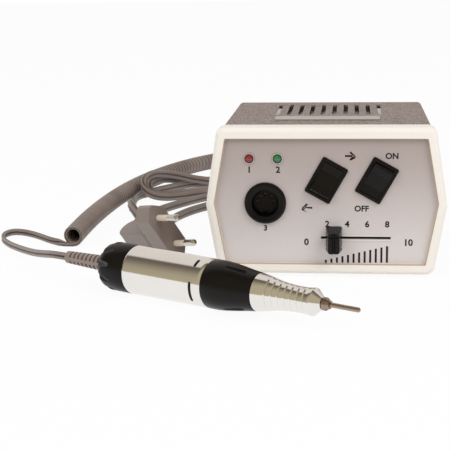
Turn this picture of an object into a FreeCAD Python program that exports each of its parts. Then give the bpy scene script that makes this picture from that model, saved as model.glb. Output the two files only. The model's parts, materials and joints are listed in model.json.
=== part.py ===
import FreeCAD
import Part
import os
from math import acos, atan2, ceil, cos, degrees, pi, radians, sin, sqrt, tan

V = FreeCAD.Vector

# Desktop nail drill machine: a sheet metal control box with moulded bezels, a handpiece on a curly cord,
# and a flat mains cord with a two pin plug. Millimetres, +X right, +Y to the rear, +Z up.
# The origin is the centre of the control box's footprint on the table.

# Fits and clearances
SEAT = 0.3          # gap between a part and the part that carries it
SLIP = 0.05         # radial clearance of a pin, screw or shaft in its hole
BODY_GAP = 0.3      # gap between parts that move past each other

# Case: two folded sheets that make a six sided section
CASE_DEPTH = 115.8
CASE_TOP_HALF = 55.8
CASE_MID_HALF = 62.0
CASE_BOTTOM_HALF = 55.8
CASE_HEIGHT = 75.7
CASE_MID_HEIGHT = 35.9
SHEET = 1.0
CASE_BEND_R = 2.8
CASE_MID_R = 0.8
SEAM_GAP = 0.2
TAB_LENGTH = 22.0
TAB_HEIGHT = 12.0
TAB_AT = 30.0

# Feet
FOOT_HEIGHT = 3.4
FOOT_R = 6.0
FOOT_STEM_R = 2.45
FOOT_HEAD_R = 3.5
FOOT_HEAD_HEIGHT = 2.5
FOOT_X = 42.0
FOOT_Y = 36.0

# Front bezel
BEZEL_WALL = 1.2
BEZEL_LIP = 2.5
BEZEL_COVERS = 8.2
BEZEL_TOP_R = 4.5
BEZEL_MID_R = 3.2
BEZEL_BOTTOM_R = 5.0
BEZEL_EDGE_R = 2.6
LIP_TOP_DROP = 4.55
LIP_TOP_IN = 3.1
LIP_MID_RISE = 1.1
LIP_MID_IN = 3.25
LIP_BOTTOM_RISE = 4.15
LIP_BOTTOM_IN = 3.2
LIP_CHAMFER = 0.4
OPENING_R = 1.2
NOTCH_HEIGHT = 3.2
NOTCH_DEPTH = 1.1
NOTCH_LENGTH = 10.8
NOTCH_RISE = 1.7

# Panels, and the rear panel's lugs on the floor
PANEL = 1.5
LUG_WIDTH = 10.0
LUG_DEPTH = 7.5
LUG_HEIGHT = 5.0

# Case screws
SCREW_R = 1.5
SCREW_HEAD_R = 2.75
SCREW_HEAD_HEIGHT = 1.6
SCREW_LENGTH = 7.1
SCREW_X = 40.0

# Top slots, the tray under them and the name plate
SLOT_COUNT = 10
SLOT_PITCH = 6.5
SLOT_WIDTH = 2.5
SLOT_FRONT = 2.1
SLOT_REAR = 46.5
SLOT_CENTRE_X = 0.3
TRAY_DROP = 2.4
TRAY_WALL = 1.2
TRAY_MARGIN = 2.2
TRAY_HOLE_R = 1.0
PLATE_WIDTH = 58.2
PLATE_DEPTH = 14.2
PLATE_THICK = 0.5
PLATE_R = 1.0
PLATE_CENTRE_Y = -15.2

# Indicator lamps
LED_R = 2.45
LED_FLANGE_R = 2.8
LED_LENGTH = 6.4
LED_STANDS = 2.0
LED_RING_R = 3.1
LED_RING_STANDS = 0.7
LED_LEAD_R = 0.3
LED_LEAD_SPREAD = 2.54
LED_LEAD_LENGTH = 5.0
RED_LED_X = -40.2
GREEN_LED_X = -25.3
LED_Z = 64.0

# Five pin round socket for the handpiece
SOCKET_X = -31.8
SOCKET_Z = 40.2
SOCKET_FLANGE_R = 11.1
SOCKET_FLANGE = 2.4
SOCKET_RIM_R = 1.5
SOCKET_BARREL_R = 7.9
SOCKET_BORE_R = 7.2
SOCKET_RECESS = 4.6
SOCKET_LENGTH = 11.0
SOCKET_FLOOR = 1.6
INSERT_R = 6.1
INSERT_LENGTH = 8.6
PIN_CIRCLE_R = 4.1
PIN_COUNT = 5
PIN_STEP_DEG = 45.0
CONTACT_R = 0.7
CONTACT_TAIL = 4.5
KEY_WIDTH = 2.6
SOCKET_NUT_R = 9.6
SOCKET_NUT = 2.0

# Rocker switches
ROCKER_TILT_DEG = 29.3
DIRECTION_X = 0.4
POWER_X = 26.8
SWITCH_Z = 52.5
FRAME_LENGTH = 21.0
FRAME_WIDTH = 15.0
FRAME_STANDS = 1.8
FRAME_EDGE = 0.7
SWITCH_LENGTH = 19.2
SWITCH_WIDTH = 12.9
SWITCH_DEPTH = 14.0
SWITCH_WALL = 0.85
SWITCH_FLOOR = 3.0
ROCKER_CORNER = 7.9
ROCKER_CORNER_STANDS = 3.7
ROCKER_SIDE_GAP = 0.15
ROCKER_FACET_DEG = 20.0
ROCKER_FLAT_HALF = 3.9
ROCKER_SWING_DEG = 12.0
ROCKER_BELOW = 3.0
PIVOT_STANDS = 0.4
PIVOT_R = 1.0
PIVOT_LENGTH = 0.7
BLADE_WIDTH = 4.8
BLADE = 0.8
BLADE_LENGTH = 8.0
BLADE_PITCH = 6.5

# Slide control
SLIDE_CENTRE_X = 16.06
SLIDE_Z = 21.5
SLIDE_TRAVEL = 30.0
SLIDE_START = 3.54
SLOT_LENGTH = 36.7
SLOT_HEIGHT = 1.5
LEVER_WIDTH = 4.0
LEVER_THICK = 1.1
POT_LENGTH = 45.0
POT_HEIGHT = 9.0
POT_DEPTH = 6.8
POT_WALL = 0.8
WIPER_WIDTH = 7.0
WIPER_DEPTH = 3.0
KNOB_WIDTH = 8.6
KNOB_HEIGHT = 13.8
KNOB_STANDS = 10.5
KNOB_GAP = 0.5
KNOB_WEDGE = 1.3

# Main board and its parts
BOARD = 1.6
BOARD_WIDTH = 44.0
BOARD_DEPTH = 76.0
BOARD_X = -20.0
BOARD_Y = 8.0
STANDOFF = 6.0
STANDOFF_FLATS = 5.0
BOARD_INSET = 4.0
PAN_HEAD_R = 2.8
PAN_HEAD_HEIGHT = 1.8
PAN_SHANK = 6.0
CAPACITOR_R = 8.0
CAPACITOR_HEIGHT = 25.0
SINK_WIDTH = 24.0
SINK_DEPTH = 12.0
SINK_HEIGHT = 28.0
SINK_FIN = 1.4
SINK_FINS = 5
TRANSISTOR_WIDTH = 10.0
TRANSISTOR_THICK = 4.4
TRANSISTOR_HEIGHT = 15.0

# Transformer
CORE_LENGTH = 57.0
CORE_HEIGHT = 47.5
CORE_STACK = 25.0
CORE_YOKE = 9.5
WINDOW_WIDTH = 9.5
WINDING_BULGE = 8.0
TRANSFORMER_X = 25.0
TRANSFORMER_Y = 8.0
STRAP = 1.2
STRAP_FOOT = 12.0

# Mains cord bush
BUSH_X = -30.0
BUSH_Z = 18.0
BUSH_NECK_R = 5.5
BUSH_FLANGE_R = 7.0
BUSH_FLANGE = 3.0
BUSH_LENGTH = 30.0
BUSH_ROOT_R = 5.4
BUSH_TIP_R = 3.6
BUSH_RIBS = 7

# Handpiece: distances along its axis from the joint of rear cap and barrel, forwards
HANDPIECE_PLACE = V(-95.0, -96.0, 12.6)
HANDPIECE_TURN_DEG = -30.0
RELIEF_TIP_R = 3.3
RELIEF_ROOT_R = 4.2
RELIEF_LENGTH = 28.6
RELIEF_COLLAR = 3.2
RELIEF_PLUG = 5.0
RELIEF_RIB_PITCH = 2.9
RELIEF_RIB_GAP = 1.3
RELIEF_SPINE = 1.8
RELIEF_CORE_R = 2.2
CAP_LENGTH = 19.4
CAP_R = 12.6
CAP_REAR_R = 8.6
CAP_WALL = 2.0
CAP_SPIGOT = 4.0
FLUTES = 10
FLUTE_R = 2.4
FLUTE_DEPTH = 0.9
BARREL_FRONT_R = 12.2
BARREL_BORE_R = 11.0
BARREL_LIP = 0.6
BARREL_MARK = 1.2
BARREL_MARK_DEPTH = 0.25
MOTOR_R = 10.6
MOTOR_WALL = 1.2
MOTOR_START = 4.1
MOTOR_LENGTH = 40.6
MOTOR_FRONT_ROOM = 3.7
ROTOR_R = 7.0
SHAFT_R = 1.5
BEARING_R = 4.0
BEARING_OUTER_WALL = 0.9
BEARING_INNER_WALL = 0.9
BEARING_WIDTH = 3.5
COUPLING_R = 4.4
COUPLING_LENGTH = 10.0
COUPLING_GAP = 1.0
HOUSING_FLANGE = 3.6
HOUSING_REAR_R = 8.0
HOUSING_R = 5.0
HOUSING_REAR_LENGTH = 11.6
HOUSING_TUBE_LENGTH = 43.0
HOUSING_BEARING_INSET = 6.0
GRIP_LENGTH = 27.3
GRIP_BORE_R = 8.4
GRIP_SCOOPS = 3
GRIP_SCOOP_FIRST_DEG = 112.5
GRIP_SCOOP_R = 9.0
GRIP_SCOOP_DEPTH = 0.9
LOCK_RING_LENGTH = 4.0
NOSE_SPIGOT = 6.0
NOSE_REAR_R = 9.35
NOSE_WAIST_R = 6.2
NOSE_WAIST = 23.5
NOSE_FRONT_R = 6.6
NOSE_LENGTH = 30.7
NOSE_CHAMFER = 0.4
NOSE_TIP = 4.3
NOSE_TIP_R = 3.0
NOSE_GROOVES = 7
NOSE_GROOVE_START = 6.8
NOSE_GROOVE_PITCH = 3.3
NOSE_GROOVE = 0.9
NOSE_GROOVE_DEPTH = 0.4
SPINDLE_R = 2.2
SPINDLE_WALL = 0.45
COLLET_HEAD_R = 3.1
COLLET_NOSE_R = 2.0
COLLET_HEAD = 3.4
COLLET_STEM = 20.0
COLLET_SLOTS = 3
COLLET_SLOT = 0.4
BIT_R = 1.175
BIT_LENGTH = 38.3
BIT_INSIDE = 22.7

# Handpiece cord
LEAD_R = 1.7
CURL_R = 4.45
CURL_TURNS = 84
PLUG_GRIP_R = 7.0
PLUG_GRIP_LENGTH = 30.0
PLUG_SHELL_R = 6.6
PLUG_SHELL_WALL = 0.45
PLUG_SHELL_LENGTH = 8.0
PLUG_RELIEF_LENGTH = 12.0
PLUG_PIN_R = 0.65

# Mains cord and plug
MAINS_R = 2.7
MAINS_PLUG_FACE = V(-89.4, -30.3, 17.7)
MAINS_PLUG_LONG = V(0.476, 0.246, -0.844)
MAINS_PLUG_PINS = V(0.686, -0.704, 0.182)
FACE_HALF_LENGTH = 17.65
FACE_FLAT_HALF = 12.2
FACE_HALF_WIDTH = 6.85
FACE_CORNER = 1.2
BLOCK_DEPTH = 13.0
BLOCK_EDGE_R = 0.8
GRIP_HALF_WIDTH = 6.7
GRIP_DEPTH = 37.0
GRIP_TOP = 3.5
GRIP_BOTTOM = 7.5
GRIP_GROOVE = 0.5
OUTLET_R = 3.9
OUTLET_TIP_R = 3.4
OUTLET_LENGTH = 10.0
PRONG_R = 2.0
PRONG_ROOT_R = 1.6
PRONG_SLEEVE_R = 1.8
PRONG_LENGTH = 19.0
PRONG_SLEEVE = 10.0
PRONG_HALF_SPACING = 9.3
PRONG_TIP_HALF_SPACING = 8.75

# Routes of the cords: the points of the handpiece lead, the curly cord's axis, the plug lead and the mains cord
LEAD_ROUTE = [
    (-136.57, -72.0, 12.6),
    (-146.09, -66.5, 12.6),
    (-156.0, -54.0, 9.5),
    (-167.0, -37.0, 6.0),
    (-181.0, -16.0, 2.6),
    (-191.5, -3.0, 1.8),
    (-199.5, 13.2, 1.7),
    (-192.6, 23.3, 1.7),
    (-180.4, 22.7, 1.7),
    (-173.5, 10.6, 1.7),
    (-164.0, 2.0, 1.7),
    (-155.2, 2.0, 1.7),
]
CURL_ROUTE = [
    (-151.8, 2.0),
    (-152.3, 28.0),
    (-152.0, 58.0),
    (-150.5, 90.0),
    (-147.5, 124.0),
    (-142.5, 157.0),
    (-134.5, 190.0),
    (-123.5, 222.0),
    (-110.0, 250.0),
    (-94.0, 273.0),
    (-74.0, 288.0),
    (-50.0, 293.5),
    (-25.0, 293.5),
]
PLUG_ROUTE = [
    (-25.0, 290.1, 1.7),
    (-25.0, 281.0, 1.7),
    (-21.0, 269.0, 2.4),
    (-11.0, 260.0, 4.8),
    (0.0, 258.0, 7.0),
    (9.5, 258.0, 7.0),
]
MAINS_ROUTE = [
    (-30.0, 92.0, 18.0),
    (-30.0, 107.0, 18.0),
    (-33.0, 123.0, 9.5),
    (-47.0, 132.0, 2.7),
    (-65.0, 126.0, 2.7),
    (-80.0, 111.0, 2.7),
    (-91.0, 94.0, 2.7),
    (-97.5, 78.0, 2.7),
    (-101.5, 62.0, 2.7),
    (-100.5, 46.0, 2.7),
    (-97.5, 32.5, 2.7),
    (-110.5, 25.0, 2.7),
    (-123.5, 32.5, 2.7),
    (-123.0, 48.0, 2.7),
    (-120.5, 66.0, 2.7),
    (-117.0, 83.0, 2.7),
    (-111.0, 99.0, 2.7),
    (-101.0, 117.0, 2.7),
    (-88.0, 138.0, 2.7),
    (-66.0, 152.0, 2.7),
    (-36.0, 160.0, 2.7),
    (-4.0, 162.5, 2.7),
    (27.0, 163.5, 2.7),
    (54.4, 166.0, 2.7),
    (68.9, 191.0, 2.7),
    (54.4, 216.0, 2.7),
    (25.0, 217.5, 2.7),
    (-8.0, 214.5, 2.7),
    (-42.0, 209.3, 2.7),
    (-70.0, 203.5, 2.7),
    (-93.0, 200.0, 2.9),
    (-105.5, 194.0, 4.0),
    (-115.0, 185.0, 6.3),
    (-122.4, 172.0, 9.4),
    (-127.5, 160.0, 10.5),
    (-130.2, 150.0, 9.7),
    (-129.0, 142.5, 6.5),
    (-124.0, 141.0, 3.6),
    (-115.5, 144.5, 2.7),
    (-105.2, 151.2, 2.7),
    (-92.5, 162.0, 2.7),
    (-70.0, 170.5, 2.7),
    (-42.0, 177.0, 2.7),
    (-16.0, 180.0, 2.7),
    (6.0, 181.5, 2.7),
    (24.0, 183.0, 2.7),
    (29.6, 192.7, 2.7),
    (24.0, 202.4, 2.7),
    (4.0, 202.5, 2.7),
    (-20.0, 199.5, 2.7),
    (-46.0, 193.5, 2.7),
    (-70.0, 188.5, 3.5),
    (-88.0, 185.0, 5.0),
    (-101.5, 181.5, 7.3),
    (-112.0, 176.0, 10.8),
    (-121.3, 165.0, 14.6),
    (-128.4, 151.0, 17.0),
    (-132.1, 139.5, 15.6),
    (-132.2, 132.5, 11.5),
    (-129.0, 131.0, 7.3),
    (-123.0, 132.6, 4.2),
    (-115.0, 135.6, 3.0),
    (-106.6, 140.0, 2.7),
    (-97.8, 147.5, 2.7),
    (-86.0, 155.0, 2.7),
    (-66.0, 162.0, 2.7),
    (-38.0, 168.0, 2.7),
    (-8.0, 171.0, 2.7),
    (18.0, 172.2, 2.7),
    (40.4, 174.0, 2.7),
    (50.8, 192.0, 2.7),
    (40.4, 210.0, 2.7),
    (18.0, 210.5, 2.7),
    (-12.0, 207.0, 2.7),
    (-44.0, 201.9, 2.7),
    (-70.0, 197.1, 2.7),
    (-89.0, 193.2, 2.7),
    (-102.0, 188.0, 2.7),
    (-111.5, 179.5, 2.7),
    (-119.5, 168.5, 2.7),
    (-126.7, 158.4, 2.7),
    (-131.0, 150.0, 2.7),
    (-135.9, 142.5, 2.7),
    (-137.5, 133.0, 2.7),
    (-136.4, 118.0, 2.7),
    (-133.0, 99.0, 3.5),
    (-128.5, 75.0, 8.0),
    (-125.0, 50.5, 13.2),
    (-120.5, 28.0, 18.5),
    (-117.0, 9.0, 23.5),
    (-115.0, -6.0, 28.5),
    (-111.9, -14.7, 27.5),
    (-106.6, -19.2, 21.8),
]

# Levels and planes that follow from the sizes above
CASE_BOTTOM = FOOT_HEIGHT
CASE_TOP = CASE_BOTTOM + CASE_HEIGHT
CASE_MID = CASE_BOTTOM + CASE_MID_HEIGHT
CASE_END = CASE_DEPTH / 2
FLOOR_TOP = CASE_BOTTOM + SHEET
PANEL_BACK = CASE_END + 0.1
PANEL_FRONT = PANEL_BACK + PANEL
CASE_REAR = PANEL_FRONT
BEZEL_FRONT = PANEL_FRONT + BEZEL_LIP
BEZEL_REAR = CASE_END - BEZEL_COVERS
BEZEL_BOTTOM = CASE_BOTTOM - SEAT - BEZEL_WALL
SCREW_Y = (PANEL_BACK + BEZEL_REAR) / 2
BOARD_BOTTOM = FLOOR_TOP + STANDOFF
BOARD_TOP = BOARD_BOTTOM + BOARD
BARREL_END = MOTOR_START + MOTOR_LENGTH + MOTOR_FRONT_ROOM
HOUSING_STEP = BARREL_END + HOUSING_REAR_LENGTH
HOUSING_FRONT = HOUSING_STEP + HOUSING_TUBE_LENGTH
GRIP_START = BARREL_END + BODY_GAP
GRIP_END = GRIP_START + GRIP_LENGTH
NOSE_END = GRIP_END + NOSE_LENGTH
NOSE_TIP_END = NOSE_END + NOSE_TIP
SLIDE_REST_X = SLIDE_CENTRE_X - SLIDE_TRAVEL / 2 + SLIDE_START


def box(x0, x1, y0, y1, z0, z1):
    """A block between two opposite corners."""
    return Part.makeBox(x1 - x0, y1 - y0, z1 - z0, V(x0, y0, z0))


def rod(radius, start, end):
    """A cylinder from one point to another."""
    return Part.makeCylinder(radius, (end - start).Length, start, end - start)


def cone(radius_start, radius_end, start, end):
    """A cone from one point to another."""
    return Part.makeCone(radius_start, radius_end, (end - start).Length, start, end - start)


def join(shapes):
    """One solid made of several that touch or overlap."""
    return shapes[0].fuse(shapes[1:]).removeSplitter()


def group(shapes):
    """Separate solids kept in one file."""
    return Part.makeCompound(shapes)


def rounded_wire(corners, corner_radii):
    """A closed flat outline through the corners, each with its own arc."""
    edges = []
    count = len(corners)
    ends = []
    for index in range(count):
        before = corners[index - 1] - corners[index]
        after = corners[(index + 1) % count] - corners[index]
        radius = corner_radii[index]
        before.normalize()
        after.normalize()
        if radius <= 0 or before.cross(after).Length < 1e-6:
            ends.append((corners[index], None, corners[index]))
            continue
        half = before.getAngle(after) / 2
        reach = radius / tan(half)
        middle = before + after
        middle.normalize()
        arc_mid = corners[index] + middle * (radius / sin(half) - radius)
        ends.append((corners[index] + before * reach, arc_mid, corners[index] + after * reach))
    for index in range(count):
        first, mid, last = ends[index]
        if mid is not None:
            edges.append(Part.Arc(first, mid, last).toShape())
        following = ends[(index + 1) % count][0]
        if (following - last).Length > 1e-6:
            edges.append(Part.LineSegment(last, following).toShape())
    return Part.Wire(edges)


def prism(wire, direction):
    """A solid from a closed flat outline, pushed along a direction."""
    return Part.Face(wire).extrude(direction)


def turned(profile):
    """A solid of revolution about the X axis from points (distance, radius)."""
    points = [V(distance, radius, 0) for distance, radius in profile]
    points.append(points[0])
    return Part.Face(Part.makePolygon(points)).revolve(V(0, 0, 0), V(1, 0, 0), 360)


def turned_cone(start, end, radius_start, radius_end):
    """A plain cone or cylinder on the X axis."""
    return turned([(start, 0), (start, radius_start), (end, radius_end), (end, 0)])


def tube_on_axis(start, end, outer, inner):
    """A tube on the X axis."""
    return turned([(start, inner), (start, outer), (end, outer), (end, inner)])


def hexagon_prism(flats, bottom, height):
    """A hexagonal prism that stands on a point."""
    corners = []
    for step in range(6):
        angle = radians(60 * step)
        corner = V(cos(angle), sin(angle), 0) * (flats / sqrt(3))
        corners.append(bottom + corner)
    return prism(rounded_wire(corners, [0] * 6), V(0, 0, height))


def save(name, shape):
    """Write one node and report its solids."""
    bad = [solid for solid in shape.Solids if not solid.isValid() or solid.Volume <= 0]
    print(name, len(shape.Solids), "solids", round(shape.Volume, 1), "mm3", "BAD" if bad else "")
    shape.exportStep("parts/" + name + ".step")


def offset_corners(corners, distance):
    """Move every side of a convex outline (clockwise seen from the front) outwards by a distance."""
    moved = []
    count = len(corners)
    for index in range(count):
        before = corners[index][0] - corners[index - 1][0], corners[index][1] - corners[index - 1][1]
        following = corners[(index + 1) % count]
        after = following[0] - corners[index][0], following[1] - corners[index][1]
        len_before = sqrt(before[0] ** 2 + before[1] ** 2)
        len_after = sqrt(after[0] ** 2 + after[1] ** 2)
        n1 = (-before[1] / len_before, before[0] / len_before)
        n2 = (-after[1] / len_after, after[0] / len_after)
        scale = distance / (1 + n1[0] * n2[0] + n1[1] * n2[1])
        moved.append((corners[index][0] + (n1[0] + n2[0]) * scale,
                      corners[index][1] + (n1[1] + n2[1]) * scale))
    return moved


CASE_CORNERS = [
    (-CASE_TOP_HALF, CASE_TOP),
    (CASE_TOP_HALF, CASE_TOP),
    (CASE_MID_HALF, CASE_MID),
    (CASE_BOTTOM_HALF, CASE_BOTTOM),
    (-CASE_BOTTOM_HALF, CASE_BOTTOM),
    (-CASE_MID_HALF, CASE_MID),
]
OPENING_CORNERS = [
    (-CASE_TOP_HALF + LIP_TOP_IN, CASE_TOP - LIP_TOP_DROP),
    (CASE_TOP_HALF - LIP_TOP_IN, CASE_TOP - LIP_TOP_DROP),
    (CASE_MID_HALF - LIP_MID_IN, CASE_MID + LIP_MID_RISE),
    (CASE_BOTTOM_HALF - LIP_BOTTOM_IN, CASE_BOTTOM + LIP_BOTTOM_RISE),
    (-CASE_BOTTOM_HALF + LIP_BOTTOM_IN, CASE_BOTTOM + LIP_BOTTOM_RISE),
    (-CASE_MID_HALF + LIP_MID_IN, CASE_MID + LIP_MID_RISE),
]


def section_wire(corners, distance, top_r, mid_r, bottom_r, y):
    """The six sided outline, moved outwards by a distance, in the plane at y."""
    moved = offset_corners(corners, distance)
    points = [V(x, y, z) for x, z in moved]
    return rounded_wire(points, [top_r, top_r, mid_r, bottom_r, bottom_r, mid_r])


def case_block(distance, y0, y1):
    """A solid block with the case's section, moved outwards by a distance."""
    bend = max(CASE_BEND_R + distance, 0.3)
    mid = max(CASE_MID_R + distance, 0.2)
    wire = section_wire(CASE_CORNERS, distance, bend, mid, bend, y0)
    return prism(wire, V(0, y1 - y0, 0))


def screw_places():
    """The four case screws' places on the floor plan."""
    return [V(x, y, 0) for x in (-SCREW_X, SCREW_X) for y in (-SCREW_Y, SCREW_Y)]


def foot_places():
    """The four feet's places on the floor plan."""
    return [V(x, y, 0) for x in (-FOOT_X, FOOT_X) for y in (-FOOT_Y, FOOT_Y)]


def strap_screw_places():
    """The two transformer screws' places."""
    reach = CORE_LENGTH / 2 + STRAP + STRAP_FOOT / 2
    return [V(TRANSFORMER_X, TRANSFORMER_Y + side * reach, 0) for side in (-1, 1)]


def standoff_places():
    """The four board standoffs' places."""
    x_reach = BOARD_WIDTH / 2 - BOARD_INSET
    y_reach = BOARD_DEPTH / 2 - BOARD_INSET
    return [V(BOARD_X + i * x_reach, BOARD_Y + j * y_reach, 0) for i in (-1, 1) for j in (-1, 1)]


def make_bezel():
    """The front bezel: a lipped frame with a cavity for the case and a notch at each side corner."""
    outward = SEAT + BEZEL_WALL
    depth = BEZEL_FRONT - BEZEL_REAR
    outline = section_wire(CASE_CORNERS, outward, BEZEL_TOP_R, BEZEL_MID_R, BEZEL_BOTTOM_R, -BEZEL_FRONT)
    body = prism(outline, V(0, depth, 0))
    front_edges = [edge for edge in body.Edges if edge.BoundBox.YMax < -BEZEL_FRONT + 0.01]
    body = body.makeFillet(BEZEL_EDGE_R, front_edges)
    body = body.cut(case_block(SEAT, -PANEL_FRONT, -BEZEL_REAR + 1))
    opening = section_wire(OPENING_CORNERS, 0, OPENING_R, OPENING_R, OPENING_R, -BEZEL_FRONT - 1)
    body = body.cut(prism(opening, V(0, BEZEL_LIP + 2, 0)))
    wide = OPENING_R + LIP_CHAMFER
    flare_front = section_wire(OPENING_CORNERS, LIP_CHAMFER, wide, wide, wide, -BEZEL_FRONT - 0.01)
    flare_back = section_wire(OPENING_CORNERS, 0, OPENING_R, OPENING_R, OPENING_R, -BEZEL_FRONT + LIP_CHAMFER)
    body = body.cut(Part.makeLoft([flare_front, flare_back], True, True))
    vertex = offset_corners(CASE_CORNERS, outward)[2]
    for side in (-1, 1):
        tip = V(side * (vertex[0] - NOTCH_DEPTH), -BEZEL_REAR + 1, vertex[1] + NOTCH_RISE)
        upper = V(side * (vertex[0] + 1), -BEZEL_REAR + 1, vertex[1] + NOTCH_RISE + NOTCH_HEIGHT / 2 + 1)
        lower = V(side * (vertex[0] + 1), -BEZEL_REAR + 1, vertex[1] + NOTCH_RISE - NOTCH_HEIGHT / 2 - 1)
        body = body.cut(prism(rounded_wire([tip, upper, lower], [0, 0, 0]), V(0, -NOTCH_LENGTH - 1, 0)))
    for place in screw_places():
        if place.y < 0:
            bottom = V(place.x, place.y, BEZEL_BOTTOM)
            sink_top = bottom + V(0, 0, SCREW_HEAD_HEIGHT)
            body = body.cut(rod(SCREW_R + SLIP, bottom - V(0, 0, 1), bottom + V(0, 0, 6)))
            body = body.cut(cone(SCREW_HEAD_R + SLIP, SCREW_R + SLIP, bottom, sink_top))
    return body


def make_cover():
    """The top cover: the upper half of the folded case, with the vent slots."""
    shell = case_block(0, -CASE_END, CASE_REAR).cut(case_block(-SHEET, -CASE_END - 1, CASE_REAR + 1))
    lower = box(-CASE_MID_HALF - 5, CASE_MID_HALF + 5, -CASE_END - 5, CASE_REAR + 5, 0,
                CASE_MID + SEAM_GAP / 2)
    shell = shell.cut(lower)
    slots = []
    half = SLOT_WIDTH / 2
    for index in range(SLOT_COUNT):
        x = SLOT_CENTRE_X + (index - (SLOT_COUNT - 1) / 2) * SLOT_PITCH
        slots.append(box(x - half, x + half, SLOT_FRONT + half, SLOT_REAR - half, CASE_TOP - 3, CASE_TOP + 1))
        for y in (SLOT_FRONT + half, SLOT_REAR - half):
            slots.append(rod(half, V(x, y, CASE_TOP - 3), V(x, y, CASE_TOP + 1)))
    return shell.cut(slots)


def make_bottom_tray():
    """The lower half of the case, with holes for feet and screws and four tabs that hold the cover."""
    shell = case_block(0, -CASE_END, CASE_REAR).cut(case_block(-SHEET, -CASE_END - 1, CASE_REAR + 1))
    upper_z = CASE_MID - SEAM_GAP / 2
    shell = shell.cut(box(-CASE_MID_HALF - 5, CASE_MID_HALF + 5, -CASE_END - 5, CASE_REAR + 5, upper_z,
                          CASE_TOP + 5))
    ring = case_block(-SHEET - SLIP, -TAB_LENGTH / 2, TAB_LENGTH / 2)
    ring = ring.cut(case_block(-2 * SHEET - SLIP, -TAB_LENGTH, TAB_LENGTH))
    weld = case_block(-SHEET + SLIP, -TAB_LENGTH / 2, TAB_LENGTH / 2)
    weld = weld.cut(case_block(-2 * SHEET, -TAB_LENGTH, TAB_LENGTH))
    weld_top = CASE_MID - 2
    for side in (-1, 1):
        inner = side * (CASE_MID_HALF - 12)
        outer = side * (CASE_MID_HALF + 5)
        x0, x1 = min(inner, outer), max(inner, outer)
        tab_box = box(x0, x1, -TAB_LENGTH, TAB_LENGTH, CASE_MID - TAB_HEIGHT / 2, CASE_MID + TAB_HEIGHT / 2)
        weld_box = box(x0, x1, -TAB_LENGTH, TAB_LENGTH, CASE_MID - TAB_HEIGHT / 2, weld_top)
        tab = ring.common(tab_box).fuse(weld.common(weld_box))
        for y in (-TAB_AT, TAB_AT):
            placed = tab.copy()
            placed.translate(V(0, y, 0))
            shell = shell.fuse(placed)
    holes = []
    for place in foot_places():
        holes.append(rod(FOOT_STEM_R + SLIP, place + V(0, 0, CASE_BOTTOM - 1),
                         place + V(0, 0, FLOOR_TOP + 1)))
    for place in screw_places() + strap_screw_places() + standoff_places():
        holes.append(rod(SCREW_R + SLIP, place + V(0, 0, CASE_BOTTOM - 1), place + V(0, 0, FLOOR_TOP + 1)))
    return shell.cut(holes).removeSplitter()


def make_vent_tray():
    """The shallow tray that hangs under the slots and keeps dust off the board."""
    half = (SLOT_COUNT - 1) / 2 * SLOT_PITCH + TRAY_MARGIN
    top = CASE_TOP - SHEET
    x0, x1 = SLOT_CENTRE_X - half, SLOT_CENTRE_X + half
    y0, y1 = SLOT_FRONT - TRAY_MARGIN, SLOT_REAR + TRAY_MARGIN
    bottom = top - TRAY_DROP - TRAY_WALL
    tray = box(x0, x1, y0, y1, bottom, top)
    tray = tray.cut(box(x0 + TRAY_WALL, x1 - TRAY_WALL, y0 + TRAY_WALL, y1 - TRAY_WALL, bottom + TRAY_WALL,
                        top + 1))
    holes = []
    for index in range(SLOT_COUNT - 1):
        x = SLOT_CENTRE_X + (index - (SLOT_COUNT - 2) / 2) * SLOT_PITCH
        for share in (0.2, 0.5, 0.8):
            y = y0 + share * (y1 - y0)
            holes.append(rod(TRAY_HOLE_R, V(x, y, bottom - 1), V(x, y, top)))
    return tray.cut(holes)


def make_name_plate():
    """A bare metal plate glued on the cover."""
    x, y0, y1 = PLATE_WIDTH / 2, PLATE_CENTRE_Y - PLATE_DEPTH / 2, PLATE_CENTRE_Y + PLATE_DEPTH / 2
    corners = [V(-x, y0, CASE_TOP), V(x, y0, CASE_TOP), V(x, y1, CASE_TOP), V(-x, y1, CASE_TOP)]
    return prism(rounded_wire(corners, [PLATE_R] * 4), V(0, 0, PLATE_THICK))


def make_feet():
    """Four push-in rubber feet, each with a stem through the floor and a head that holds it."""
    feet = []
    for place in foot_places():
        pad = cone(FOOT_R - 0.6, FOOT_R, place, place + V(0, 0, 1))
        pad = pad.fuse(rod(FOOT_R, place + V(0, 0, 1), place + V(0, 0, FOOT_HEIGHT)))
        stem = rod(FOOT_STEM_R, place + V(0, 0, FOOT_HEIGHT - 0.5), place + V(0, 0, FLOOR_TOP + 0.5))
        head_base = place + V(0, 0, FLOOR_TOP)
        head = cone(FOOT_HEAD_R, FOOT_STEM_R - 0.5, head_base, head_base + V(0, 0, FOOT_HEAD_HEIGHT))
        feet.append(join([pad, stem, head]))
    return group(feet)


def make_case_screws():
    """Countersunk screws: two go up through the bezel and the floor, two through the floor into the rear panel's lugs."""
    screws = []
    for place in screw_places():
        level = BEZEL_BOTTOM if place.y < 0 else CASE_BOTTOM - SCREW_HEAD_HEIGHT
        bottom = place + V(0, 0, level)
        head = cone(SCREW_HEAD_R, SCREW_R, bottom, bottom + V(0, 0, SCREW_HEAD_HEIGHT))
        shank = rod(SCREW_R, bottom, bottom + V(0, 0, SCREW_LENGTH))
        slot = box(place.x - 0.3, place.x + 0.3, place.y - 2, place.y + 2, level - 1, level + 0.6)
        slot = slot.fuse(box(place.x - 2, place.x + 2, place.y - 0.3, place.y + 0.3, level - 1, level + 0.6))
        screws.append(head.fuse(shank).cut(slot).removeSplitter())
    return group(screws)


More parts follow.
